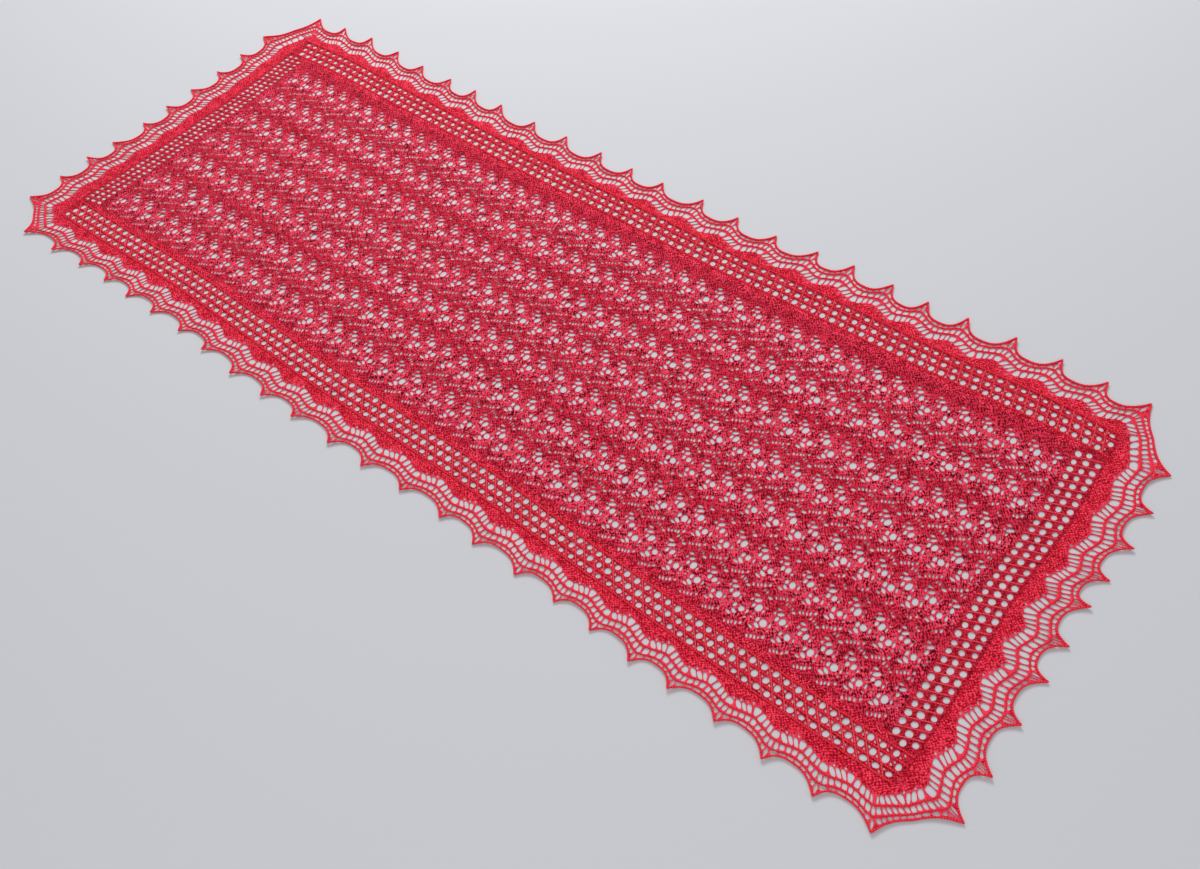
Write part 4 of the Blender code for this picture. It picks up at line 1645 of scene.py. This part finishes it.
@dataclass
class CentrePanel:
    """The panel of seven lace waves, knitted in three bands.

    Gaps keep off the bands' long edges and the panel's ends, and off its garter margins.
    """

    blocking: Blocking
    waves: int = 7
    repeats: int = 45
    eyelet_below: float = 0.0075
    band_margin: float = 1.2 * MM
    end_margin: float = 1.0 * MM
    lowest_gap: float = -0.2285
    highest_gap: float = 0.2215
    relief_margin: float = 2.0 * MM
    relief_step: float = 5.0 * MM
    strand: float = 0.85 * MM
    bands: tuple[tuple[str, int, int], ...] = (
        ("panel_lace_front", 0, 2),
        ("panel_lace_middle", 2, 5),
        ("panel_lace_far", 5, 7),
    )

    def band_gaps(self, first: int, last: int, low: float, high: float) -> Gaps:
        """All gaps of the waves of one band that lie between its two long edges."""
        size = self.blocking.size
        gaps = Gaps(seed=100 + first)
        for wave in range(max(first - 1, 0), min(last + 1, self.waves)):
            middle = (wave - (self.waves - 1) / 2.0) * WAVE_PITCH - self.eyelet_below
            for repeat in range(-1, self.repeats + 2):
                start = (repeat - (self.repeats - 1) / 2.0) * REPEAT_PITCH
                for eyelet in WAVE_MOTIF:
                    u = start + eyelet.along * MM
                    v = middle + eyelet.across * MM
                    reach = max(eyelet.half_along, eyelet.half_across) * MM
                    in_band = low + self.band_margin < v < high - self.band_margin
                    in_row = abs(u) <= size.panel_half_length - reach - self.end_margin
                    if in_band and in_row and self.lowest_gap <= v <= self.highest_gap:
                        half = (eyelet.half_along * MM, eyelet.half_across * MM)
                        gaps.oval((u, v), half, eyelet.tilt, eyelet.sides)
        return gaps

    def build(self, material: bpy.types.Material) -> list[tuple[bpy.types.Object, LaceSheet]]:
        """Knit the bands."""
        size = self.blocking.size
        made = []
        for name, first, last in self.bands:
            low, high = ((edge - self.waves / 2.0) * WAVE_PITCH for edge in (first, last))
            low = -size.panel_half_width if first == 0 else low
            high = size.panel_half_width if last == self.waves else high
            outline = rectangle(size.panel_half_length, low, high, SEAM_STEP)
            gaps = self.band_gaps(first, last, low, high)
            gaps.settle(outline_points(outline), self.strand, wander=0.30 * MM, vary=0.15)
            relief = loose_points(
                (-size.panel_half_length + self.relief_margin, low + self.relief_margin),
                (size.panel_half_length - self.relief_margin, high - self.relief_margin),
                self.relief_step,
                seed=first,
            )
            relief = gaps.clear_points(relief, RELIEF_CLEAR)
            sheet = LaceSheet(name, self.blocking, outline, gaps, relief=relief, rounded=False)
            made.append((sheet.build(material), sheet))
        return made


def outline_points(outline: np.ndarray, step: float = 2.0 * MM) -> np.ndarray:
    """Points at most a step apart along a closed outline."""
    following = np.roll(outline, -1, axis=0)
    dense = []
    for start, end in zip(outline, following):
        count = max(1, int(math.ceil(np.linalg.norm(end - start) / step)))
        dense.append(start + (end - start) * (np.arange(count) / count)[:, None])
    return np.vstack(dense)


@dataclass(frozen=True)
class MeshRow:
    """One row of the mesh: how far out it lies, its eyelets' half sizes in mm, and its shift along."""

    out: float
    half_along: float
    half_across: float
    shift: float


@dataclass(frozen=True)
class MeshSide:
    """The mesh on one side of the stole: its rows from the garter band out, and its pitch."""

    at_end: bool
    heading: float
    pitch: float
    lean: float
    rows: tuple[MeshRow, ...]

    def count(self, size: ClothSize) -> int:
        """How many eyelets one row has room for, before those beyond its ends are left out."""
        reach = size.panel_half_width if self.at_end else size.border_half_length
        return int(2.0 * reach / self.pitch) + 2

    def spacing(self, index: float, row: MeshRow, count: int) -> float:
        """How far along the side an eyelet of a row lies; halves are between two eyelets."""
        return (index - count / 2.0 + row.shift) * self.pitch


MESH_SIDES = (
    MeshSide(
        False,
        -1.0,
        16.4 * MM,
        0.70,
        (MeshRow(0.2510, 4.0, 4.5, 0.0), MeshRow(0.2642, 4.1, 4.8, -0.30), MeshRow(0.2776, 4.1, 3.7, -0.60)),
    ),
    MeshSide(
        False,
        1.0,
        16.4 * MM,
        -0.21,
        (MeshRow(0.2510, 4.2, 4.5, 0.0), MeshRow(0.2642, 3.9, 3.8, -0.21), MeshRow(0.2776, 3.8, 3.0, -0.42)),
    ),
    MeshSide(
        True,
        1.0,
        13.4 * MM,
        0.0,
        (MeshRow(0.7805, 4.2, 4.5, 0.0), MeshRow(0.7945, 4.2, 4.5, 0.38), MeshRow(0.8085, 4.0, 4.3, 0.76)),
    ),
    MeshSide(
        True,
        -1.0,
        10.4 * MM,
        0.0,
        (MeshRow(0.7825, 4.1, 2.7, 0.0), MeshRow(0.7957, 4.1, 2.7, -0.24), MeshRow(0.8085, 3.8, 2.6, -0.48)),
    ),
)


@dataclass
class MeshBorder:
    """The ring of border: a garter band and an eyelet mesh three eyelets deep."""

    blocking: Blocking
    sides: tuple[MeshSide, ...] = MESH_SIDES
    ridges: tuple[float, ...] = (0.2445, 0.2576, 0.2710, 0.2846)
    ridge_wobble: float = 0.35 * MM
    raised: float = 0.30 * MM
    strand: float = 0.85 * MM
    relief_margin: float = 1.5 * MM
    relief_step: float = 4.2 * MM

    def gaps(self) -> Gaps:
        """The eyelets of the mesh and the small gaps beside the strands that cross between them."""
        size = self.blocking.size
        gaps = Gaps(seed=300)
        for side in self.sides:
            reach = size.panel_half_width + 4.0 * MM if side.at_end else size.border_half_length - 6.0 * MM
            count = side.count(size)
            for row in side.rows:
                for index in range(-1, count + 2):
                    along = side.spacing(index, row, count)
                    if abs(along) < reach:
                        self.eyelet(gaps, side, row, along)
        return gaps

    def eyelet(self, gaps: Gaps, side: MeshSide, row: MeshRow, along: float) -> None:
        """Add one eyelet and the two small gaps that follow it in its row."""
        across = side.heading * row.out
        centre = (across, along) if side.at_end else (along, across)
        gaps.oval(centre, (row.half_along * MM, row.half_across * MM), 0.0, 12)
        if side.at_end:
            if abs(along) < self.blocking.size.panel_half_width - 6.0 * MM:
                lean = 2.6 * MM * side.heading
                for sign in (-1.0, 1.0):
                    place = (across + sign * 2.3 * MM, along + side.pitch / 2.0 + sign * lean * 0.35)
                    gaps.oval(place, (1.7 * MM, 0.75 * MM), 20.0 * side.heading, 6)
            return
        corner = np.array(((-1.3, 2.5), (-1.2, -1.3), (2.5, -1.3))) * MM
        corner[:, 1] *= row.half_across / 4.5
        pairs = zip(corner, np.roll(corner, -1, axis=0))
        rounded = np.array([start + (end - start) * share for start, end in pairs for share in (0.2, 0.8)])
        low = np.array((along + 6.8 * MM, across - 2.6 * MM))
        high = np.array((along + side.pitch - 6.8 * MM, across + 2.6 * MM))
        if high[0] < self.blocking.size.border_half_length - 8.0 * MM:
            gaps.add(low + rounded)
            gaps.add(high - rounded)

    def build(self, material: bpy.types.Material) -> tuple[bpy.types.Object, LaceSheet]:
        """Knit the ring."""
        size = self.blocking.size
        outline = seam(size.border_half_length, size.border_half_width)
        inner = seam(size.panel_half_length, size.panel_half_width)[::-1]
        gaps = self.gaps()
        fixed = np.vstack((outline_points(outline), outline_points(inner)))
        gaps.settle(fixed, self.strand, wander=0.40 * MM, vary=0.12)
        edge_u, edge_v = size.border_half_length, size.border_half_width
        relief = loose_points((-edge_u, -edge_v), (edge_u, edge_v), self.relief_step, seed=7)
        u, v = np.abs(relief).T
        margin = self.relief_margin
        in_border = (u < edge_u - margin) & (v < edge_v - margin)
        off_panel = (u > size.panel_half_length + margin) | (v > size.panel_half_width + margin)
        in_ring = in_border & off_panel
        relief = gaps.clear_points(relief[in_ring], RELIEF_CLEAR)
        sheet = LaceSheet("border_lace", self.blocking, outline, gaps, inner=inner, relief=relief)
        return sheet.build(material), sheet

    def ridge_paths(self) -> list[Path]:
        """The lines of the ridges between the eyelet rows."""
        size = self.blocking.size
        paths = []
        for side in (-1.0, 1.0):
            for ridge in self.ridges:
                end = size.border_half_length - 3.0 * MM
                u = spread(-end, end, 12.0 * MM)
                wobble = self.ridge_wobble * np.sin(u * 260.0 + ridge * 900.0)
                plan = np.column_stack((u, side * ridge + wobble))
                paths.append(Path(self.blocking.top(plan, self.raised), False))
        return paths

    def rib_paths(self) -> list[Path]:
        """The lines of the ribs that run out between the eyelets of the two ends."""
        size = self.blocking.size
        paths = []
        for side in self.sides:
            if not side.at_end:
                continue
            first, last = side.rows[0], side.rows[-1]
            slant = (last.shift - first.shift) * side.pitch / (last.out - first.out)
            count = side.count(size)
            for index in range(-1, count + 2):
                u = spread(first.out - 5.0 * MM, last.out + 5.0 * MM, 5.0 * MM)
                v = side.spacing(index + 0.5, first, count) + slant * (u - first.out)
                if np.abs(v).max() < size.panel_half_width + 4.0 * MM:
                    plan = np.column_stack((side.heading * u, v))
                    paths.append(Path(self.blocking.top(plan, self.raised), False))
        return paths

    def strand_paths(self) -> list[Path]:
        """The lines of the slanting strands between the eyelets of the two long sides."""
        size = self.blocking.size
        random = np.random.default_rng(23)
        paths = []
        for side in self.sides:
            if side.at_end:
                continue
            count = side.count(size)
            rows = np.array([row.out for row in side.rows])
            out = np.array((rows[0] - 6.0 * MM, *rows, rows[-1] + 6.0 * MM))
            step = np.array((-0.45, 0.0, 1.0, 2.0, 2.45)) * side.lean
            for index in range(-1, count + 2):
                along = side.spacing(index + 0.5, side.rows[0], count) + step * side.pitch
                along = along + random.normal(0.0, 0.35 * MM, len(step))
                if np.abs(along).max() < size.border_half_length - 6.0 * MM:
                    plan = np.column_stack((along, side.heading * out))
                    paths.append(Path(self.blocking.top(plan, 0.25 * MM), False))
        return paths


@dataclass(frozen=True)
class Bar:
    """A strand across one row of the edging: its places along the scallop at the outer and inner end."""

    foot: float
    head: float


SLOT_BARS = (
    Bar(0.075, 0.012),
    Bar(0.20, 0.175),
    Bar(0.34, 0.33),
    Bar(0.50, 0.49),
    Bar(0.63, 0.625),
    Bar(0.745, 0.75),
    Bar(0.85, 0.865),
    Bar(0.93, 0.985),
)
END_SLOT_BARS = (
    Bar(0.155, 0.115),
    Bar(0.255, 0.235),
    Bar(0.375, 0.370),
    Bar(0.500, 0.495),
    Bar(0.625, 0.630),
    Bar(0.745, 0.760),
    Bar(0.845, 0.885),
)
WIDE_BARS = (Bar(0.565, 0.625), Bar(0.695, 0.735), Bar(0.810, 0.830), Bar(0.905, 0.922))
THIN_BARS = (Bar(0.0, -0.08), Bar(0.15, 0.05), Bar(0.28, 0.16), Bar(0.385, 0.27), Bar(0.465, 0.385))


@dataclass(frozen=True)
class PinHole:
    """A small gap in the web of the fan: how far along it lies, and how far up the web's rise."""

    along: float
    climb: float


PIN_HOLES = (PinHole(0.02, 0.09), PinHole(0.16, 0.40), PinHole(0.285, 0.54), PinHole(0.38, 0.82))

# Places along the first half of a scallop, closer together towards its tip.
OUTLINE_SHARES = (0.0, 0.015, 0.035, 0.07, 0.12, 0.19, 0.27, 0.35, 0.43)
CORD_SHARES = (0.0, 0.008, 0.018, 0.032, 0.055, 0.09, 0.14, 0.20, 0.27, 0.35, 0.43)
CHAIN_SHARES = (0.0, 0.05, 0.11, 0.18, 0.26, 0.34, 0.42)


@dataclass(frozen=True)
class Chain:
    """A line round the edging, between the arc and the head of the fan.

    Its depth at the tips is a share of the edging's depth, more where the arcs are deeper. In the
    middle of a scallop it is a share of the way from the arc to the fan's head. The more peaked, the
    sharper it is there. The row of gaps outside it is at least so high.

    The peaked curve is a rounded slope, less its start and over its rise.
    """

    at_tip: float
    way: float
    peaked: float
    least_row: float
    deepening: float = 0.5
    plain_arc: float = 0.31
    slope_softness: float = 0.03
    slope_start: float = 0.1732
    slope_rise: float = 0.8417
    row_softness: float = 0.0004

    def tip_depth(self, scallop: Scallop) -> float:
        """Its depth at a scallop's tips."""
        return self.at_tip + self.deepening * max(scallop.arc - self.plain_arc, 0.0)

    def depth(self, scallop: Scallop, along: Any, outside: np.ndarray) -> np.ndarray:
        """Its depth at shares along a scallop, where the line outside it has the depth given."""
        nearness = 1.0 - np.abs(2.0 * np.asarray(along, float) - 1.0)
        soft = (np.sqrt(nearness**2 + self.slope_softness) - self.slope_start) / self.slope_rise
        round_rise = 0.5 - 0.5 * np.cos(math.pi * nearness)
        at_tip = self.tip_depth(scallop)
        at_middle = scallop.arc + self.way * (scallop.fan - scallop.arc)
        curve = at_tip + (at_middle - at_tip) * (self.peaked * soft + (1.0 - self.peaked) * round_rise)
        least = outside + self.least_row / scallop.depth
        return (curve + least + np.sqrt((curve - least) ** 2 + self.row_softness)) / 2.0


@dataclass
class PointedEdging:
    """The ring of pointed edging: garter triangles, a fan of loops, two rows of cells and a cord."""

    blocking: Blocking
    ring: ScallopRing
    cord_radius: float = 1.30 * MM
    chain_radius: float = 0.95 * MM
    row_clear: float = 0.35 * MM
    cell_pitch: float = 8.2 * MM
    strand: float = 0.80 * MM
    jitter: float = 0.010
    chains: tuple[Chain, ...] = (
        Chain(0.300, 0.22, 0.45, 4.8 * MM),
        Chain(0.495, 0.55, 0.80, 6.4 * MM),
        Chain(0.670, 0.98, 0.75, 4.4 * MM),
    )
    slotted_width: float = 70.8 * MM
    web_above: float = 0.015
    web_slope: float = 1.6
    pin_half: tuple[float, float] = (2.1 * MM, 1.25 * MM)
    pin_jitter: float = 0.006
    random: np.random.Generator = field(default_factory=lambda: np.random.default_rng(41))

    @staticmethod
    def respaced(bars: Sequence[Bar], count: int) -> list[Bar]:
        """The same run of bars, with another number of spaces between them."""
        old, new = np.linspace(0.0, 1.0, len(bars)), np.linspace(0.0, 1.0, count + 1)
        feet = np.interp(new, old, [bar.foot for bar in bars])
        heads = np.interp(new, old, [bar.head for bar in bars])
        return [Bar(foot, head) for foot, head in zip(feet, heads)]

    def add_cell(
        self,
        gaps: Gaps,
        scallop: Scallop,
        corners: Sequence[tuple[float, float]],
        insets: Sequence[float],
        sides: int = 11,
    ) -> None:
        """Add a gap between four corners of a scallop, given as for a scallop with its wide side last."""
        along = np.array([corner[0] for corner in corners])
        along = 1.0 - along if scallop.mirrored else along
        gaps.cell(scallop.points(along, [corner[1] for corner in corners]), insets, sides)

    def row_cells(
        self,
        gaps: Gaps,
        scallop: Scallop,
        bars: Sequence[Bar],
        edges: Sequence[Callable[[float], float]],
        strand: float,
    ) -> None:
        """Add the gaps between neighbouring bars of one row.

        Args:
            gaps: where they are noted.
            scallop: the scallop.
            bars: the strands between the gaps.
            edges: the depths of the row's outer and inner edge at a share along the scallop.
            strand: the width of the strands.
        """
        outer, inner = edges
        stray = self.random.uniform(-self.jitter, self.jitter, (len(bars), 2))
        places = [(bar.foot + shift[0], bar.head + shift[1]) for bar, shift in zip(bars, stray)]
        for (foot, head), (next_foot, next_head) in zip(places, places[1:]):
            feet = ((foot, outer(foot)), (next_foot, outer(next_foot)))
            corners = (*feet, (next_head, inner(next_head)), (head, inner(head)))
            self.add_cell(gaps, scallop, corners, (strand / 2.0, 0.1 * MM))

    def line_depth(self, scallop: Scallop, number: int, along: Any) -> np.ndarray:
        """Depth of a line round the edging.

        Args:
            scallop: the scallop.
            number: 0 for the cord's inner edge, 1 and 2 for the chains, 3 for the garter's edge.
            along: shares along the scallop.

        Returns:
            The depth at each share.
        """
        depth = self.ring.edge_depth(scallop, along, 2.0 * self.cord_radius)
        for chain in self.chains[:number]:
            depth = chain.depth(scallop, along, depth)
        return depth

    def beside(self, scallop: Scallop, number: int, side: float) -> Callable[[float], float]:
        """The depth of the edge of a row along one side of a line."""
        offset = side * (self.chain_radius + self.row_clear) / scallop.depth
        return lambda along: float(self.line_depth(scallop, number, along)) + offset

    def outer_cells(self, gaps: Gaps, scallop: Scallop) -> None:
        """The row of slots inside the cord, and the cell in the tip."""
        scale = scallop.width / self.slotted_width
        bars = END_SLOT_BARS if scallop.at_end else SLOT_BARS
        bars = self.respaced(bars, max(len(bars) - 1, int(round((len(bars) - 1) * scale))))
        inset = 2.0 * self.cord_radius + self.row_clear
        edges = (
            lambda along: float(self.ring.edge_depth(scallop, along, inset)),
            self.beside(scallop, 1, -1.0),
        )
        self.row_cells(gaps, scallop, bars, edges, 0.95 * MM)
        unit = MM / scallop.width
        low = float(self.ring.edge_depth(scallop, unit, inset))
        high = edges[1](0.0)
        if scallop.at_end:
            self.tip_cell(gaps, scallop, [(-0.35, low), (0.35, low), (1.25, high), (-1.25, high)], unit)
            for sign in (-1.0, 1.0):
                rim = [
                    (sign * across, float(self.ring.edge_depth(scallop, across * unit, inset)))
                    for across in (2.3, 3.2, 4.6)
                ]
                points = [(sign * 1.85, rim[0][1]), *rim, (sign * 5.7, high), (sign * 2.5, high)]
                self.tip_cell(gaps, scallop, points, unit)
            return
        middle = low + 0.5 * (high - low)
        points = [(-0.6, low), (0.6, low), (2.5, middle), (1.3, high), (-1.3, high), (-2.5, middle)]
        self.tip_cell(gaps, scallop, points, unit)

    @staticmethod
    def tip_cell(gaps: Gaps, scallop: Scallop, points: Sequence[tuple[float, float]], unit: float) -> None:
        """Add a gap at a scallop's first tip, from corners in mm off the tip's line and depths."""
        gaps.add(scallop.points([along * unit for along, _ in points], [depth for _, depth in points]))

    def middle_cells(self, gaps: Gaps, scallop: Scallop) -> None:
        """The row of round cells between the two chains."""
        count = max(7, int(round(scallop.width / self.cell_pitch)))
        start = 0.5 / count
        shares = start + np.arange(count + 1) / count
        bars = [Bar(share, share - 0.03 * math.sin(TAU * share)) for share in shares]
        if scallop.mirrored and scallop.wide_end < 1.0:
            bars = bars[:-1]
        if scallop.mirrored and scallop.thin_start < 0.1:
            bars = [Bar(-start, -start), *bars]
        edges = (
            self.beside(scallop, 1, 1.0),
            self.beside(scallop, 2, -1.0),
        )
        self.row_cells(gaps, scallop, bars, edges, 1.45 * MM)

    def fan_cells(self, gaps: Gaps, scallop: Scallop) -> None:
        """The fan of long cells round the hollow, with the biggest in its middle."""
        base = self.beside(scallop, 2, 1.0)
        head = self.beside(scallop, 3, 0.0)
        middle = ((0.475, base(0.475)), (0.555, base(0.555)), (0.615, head(0.615)), (0.405, head(0.405)))
        self.add_cell(gaps, scallop, middle, (0.5 * MM, 0.2 * MM), 14)
        wide = [*WIDE_BARS, Bar(scallop.wide_end, scallop.wide_end - 0.02)]
        self.row_cells(gaps, scallop, wide, (base, head), 1.25 * MM)
        thin = THIN_BARS[1:] if scallop.thin_start > 0.1 else THIN_BARS
        root = self.chains[-1].tip_depth(scallop) + self.web_above
        rise = scallop.fan - root
        edges = (base, lambda along: root + self.web_slope * rise * along)
        self.row_cells(gaps, scallop, thin, edges, 1.05 * MM)
        for hole in PIN_HOLES:
            along = hole.along + self.random.uniform(-self.pin_jitter, self.pin_jitter)
            depth = root + hole.climb * rise
            shares = (1.0 - along, 1.02 - along) if scallop.mirrored else (along, along - 0.02)
            ends = scallop.points(shares, (depth, depth + 0.02))
            tilt = math.degrees(math.atan2(*(ends[1] - ends[0])[::-1]))
            gaps.oval(ends[0], self.pin_half, tilt, 7)

    def edge_plan(self, inset: float, shares: Sequence[float]) -> np.ndarray:
        """The outer edge all the way round, moved in by a distance.

        Args:
            inset: how far inside the edge.
            shares: the places along each scallop.

        Returns:
            Plan points, counter-clockwise.
        """
        along = np.asarray(shares)
        return self.round_line(along, lambda scallop: self.ring.edge_depth(scallop, along, inset))

    def round_line(self, along: np.ndarray, depth: Callable[[Scallop], np.ndarray]) -> np.ndarray:
        """Plan points of a line all the way round, from its depth on each scallop."""
        return np.vstack([scallop.points(along, depth(scallop)) for scallop in self.ring.scallops])

    @staticmethod
    def shares(half: Sequence[float]) -> np.ndarray:
        """Places along a scallop, mirrored from those of its first half, without its last tip."""
        first = np.asarray(half)
        return np.concatenate((first, [0.5], (1.0 - first[:0:-1])))

    def build(self, material: bpy.types.Material) -> tuple[bpy.types.Object, LaceSheet]:
        """Knit the ring."""
        size = self.blocking.size
        outline = self.edge_plan(self.cord_radius, self.shares(OUTLINE_SHARES))
        inner = seam(size.border_half_length, size.border_half_width)[::-1]
        gaps = Gaps(seed=500)
        for scallop in self.ring.scallops:
            self.outer_cells(gaps, scallop)
            self.middle_cells(gaps, scallop)
            self.fan_cells(gaps, scallop)
        fixed = np.vstack((outline_points(outline, 1.5 * MM), outline_points(inner)))
        gaps.settle(fixed, self.strand, wander=0.12 * MM, vary=0.05)
        relief = []
        for scallop in self.ring.scallops:
            for along in np.arange(0.0, 0.999, 0.06):
                edge = float(self.line_depth(scallop, 3, along))
                for depth in np.arange(edge + 0.05, 0.93, 0.065):
                    relief.append(scallop.point(along, depth))
        points = gaps.clear_points(np.array(relief), RELIEF_CLEAR)
        sheet = LaceSheet("edging_lace", self.blocking, outline, gaps, inner=inner, relief=points)
        return sheet.build(material), sheet

    def cord_path(self) -> Path:
        """The bound-off cord, all the way round."""
        plan = self.edge_plan(self.cord_radius, self.shares(CORD_SHARES))
        return Path(self.blocking.placed(plan, self.blocking.lift(plan) + self.cord_radius), True)

    def chain_path(self, number: int) -> Path:
        """One chain of stitches round the edging."""
        shares = self.shares(CHAIN_SHARES)
        plan = self.round_line(shares, lambda scallop: self.line_depth(scallop, number, shares))
        return Path(self.blocking.top(plan, 0.16 * MM), True)


# ---------------------------------------------------------------- studio


@dataclass(frozen=True)
class Studio:
    """A plain pale floor, soft light, and a camera at standing height by one corner."""

    eye: tuple[float, float, float] = (1.02231, -0.82983, 1.4124)
    right: tuple[float, float, float] = (0.76722, 0.63290, -0.10399)
    up: tuple[float, float, float] = (-0.46237, 0.65814, 0.59420)
    back: tuple[float, float, float] = (0.44451, -0.40780, 0.79757)
    focal_length: float = 38.15
    floor_half: float = 6.0
    floor_colour: Colour = (0.62, 0.62, 0.64, 1.0)

    def lay_floor(self) -> None:
        """Lay the floor just under the cloth."""
        corners = [(-1.0, -1.0), (1.0, -1.0), (1.0, 1.0), (-1.0, 1.0)]
        mesh = bpy.data.meshes.new("studio_floor")
        places = [(x * self.floor_half, y * self.floor_half, -0.3 * MM) for x, y in corners]
        mesh.from_pydata(places, [], [(0, 1, 2, 3)])
        material = bpy.data.materials.new("studio_floor")
        material.use_nodes = True
        shader = material.node_tree.nodes["Principled BSDF"]
        shader.inputs["Base Color"].default_value = self.floor_colour
        shader.inputs["Roughness"].default_value = 0.9
        mesh.materials.append(material)
        floor = linked("studio_floor", mesh)

    def hang_light(self, name: str, place: Sequence[float], size: float, power: float) -> None:
        """Hang one soft light that looks at the middle of the cloth."""
        light = bpy.data.lights.new(name, "AREA")
        light.shape = "DISK"
        light.size = size
        light.energy = power
        lamp = linked(name, light)
        lamp.location = place
        lamp.rotation_euler = (-Vector(place)).to_track_quat("-Z", "Y").to_euler()

    def set_up(self) -> None:
        """Set up the floor, the lights and the camera."""
        bpy.context.scene.view_settings.view_transform = "Standard"
        self.lay_floor()
        self.hang_light("key_light", (-1.6, 2.2, 2.4), 1.6, 90.0)
        self.hang_light("fill_light", (1.8, -2.2, 2.6), 2.4, 34.0)
        world = bpy.data.worlds.new("studio")
        world.use_nodes = True
        background = world.node_tree.nodes["Background"]
        background.inputs["Color"].default_value = (0.92, 0.95, 1.0, 1.0)
        background.inputs["Strength"].default_value = 0.45
        bpy.context.scene.world = world
        camera = bpy.data.cameras.new("camera")
        camera.lens = self.focal_length
        camera.sensor_width = 36.0
        camera.clip_start = 0.01
        stand = linked("camera", camera)
        turned = Matrix((self.right, self.up, self.back)).transposed()
        stand.matrix_world = Matrix.Translation(self.eye) @ turned.to_4x4()
        bpy.context.scene.camera = stand


# ---------------------------------------------------------------- assembly


def dress(piece: bpy.types.Object, nodes: Sequence[str]) -> None:
    """Attach a finished piece to the body, hide the solids that it stands for, and log its size."""
    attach(piece, BODY)
    if nodes:
        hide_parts(*nodes)
    triangles = sum(len(polygon.vertices) - 2 for polygon in piece.data.polygons)
    height = [corner[2] / MM for corner in piece.bound_box]
    LOG.info("%s: %d triangles, %.2f to %.2f mm high", piece.name, triangles, min(height), max(height))


def main() -> None:
    """Knit the stole, dress its pieces and set up the studio."""
    logging.basicConfig(level=logging.INFO, format="%(name)s: %(message)s")
    size = ClothSize()
    blocking = Blocking(size)
    ring = ScallopRing(size)
    edging = PointedEdging(blocking, ring)
    tips = np.vstack([scallop.points([0.0, 0.5], [0.0, 0.2]) for scallop in ring.scallops])
    on_floor = blocking.floor_place(tips)
    blocking.centre = (on_floor.min(axis=0) + on_floor.max(axis=0)) / 2.0
    LOG.info("centre of the plan's box: %.5f, %.5f", *blocking.centre)

    panel_yarn = PANEL_YARN.material()
    border_yarn = BORDER_YARN.material()
    edging_yarn = EDGING_YARN.material()
    ridge_yarn = RIDGE_YARN.material()
    chain_yarn = CHAIN_YARN.material()
    strand_yarn = STRAND_YARN.material()
    halo_yarn = HALO_YARN.material()

    sheets = []
    for piece, sheet in CentrePanel(blocking).build(panel_yarn):
        dress(piece, ["centre_panel"])
        v = sheet.outline[:, 1]
        flat = (float(v.max() - v.min()), 2.0 * size.panel_half_length)
        sheets.append(piece)

    border = MeshBorder(blocking)
    piece, sheet = border.build(border_yarn)
    dress(piece, ["border_front", "border_far", "border_left", "border_right"])
    ridges = PurlRidge().lay("border_ridges", border.ridge_paths(), ridge_yarn)
    dress(ridges, [])
    crossing = border.strand_paths() + border.rib_paths()
    strands = CordMaker(0.85 * MM, 5).sweep("mesh_strands", crossing, strand_yarn)
    dress(strands, [])
    length = 4.0 * (size.border_half_length + size.panel_half_width)
    flat = (size.border_half_width - size.panel_half_width, length)
    sheets.append(piece)

    piece, sheet = edging.build(edging_yarn)
    dress(piece, ["edging_front", "edging_right", "edging_far", "edging_left"])
    cord = CordMaker(edging.cord_radius, 8).sweep("bound_off_cord", [edging.cord_path()], chain_yarn)
    chains = CordMaker(edging.chain_radius, 6).sweep(
        "edging_chains", [edging.chain_path(number) for number in (1, 2)], chain_yarn
    )
    dress(cord, [])
    dress(chains, [])
    length = 4.0 * (size.border_half_length + size.border_half_width) + 0.25
    flat = (size.half_width - size.border_half_width + 4.0 * MM, length)
    sheets.append(piece)

    short = MohairHalo(per_area=900.0, length=8.0 * MM, bow=0.16, pitch=0.30)
    halo = short.grow("mohair_halo", sheets, halo_yarn)
    dress(halo, [])
    long = MohairHalo(per_area=7000.0, length=22.0 * MM, bow=0.05, pitch=0.10, seed=9)
    stray = long.grow("stray_fibres", [cord], halo_yarn)
    dress(stray, [])

    Studio().set_up()


if __name__ == "__main__":
    main()
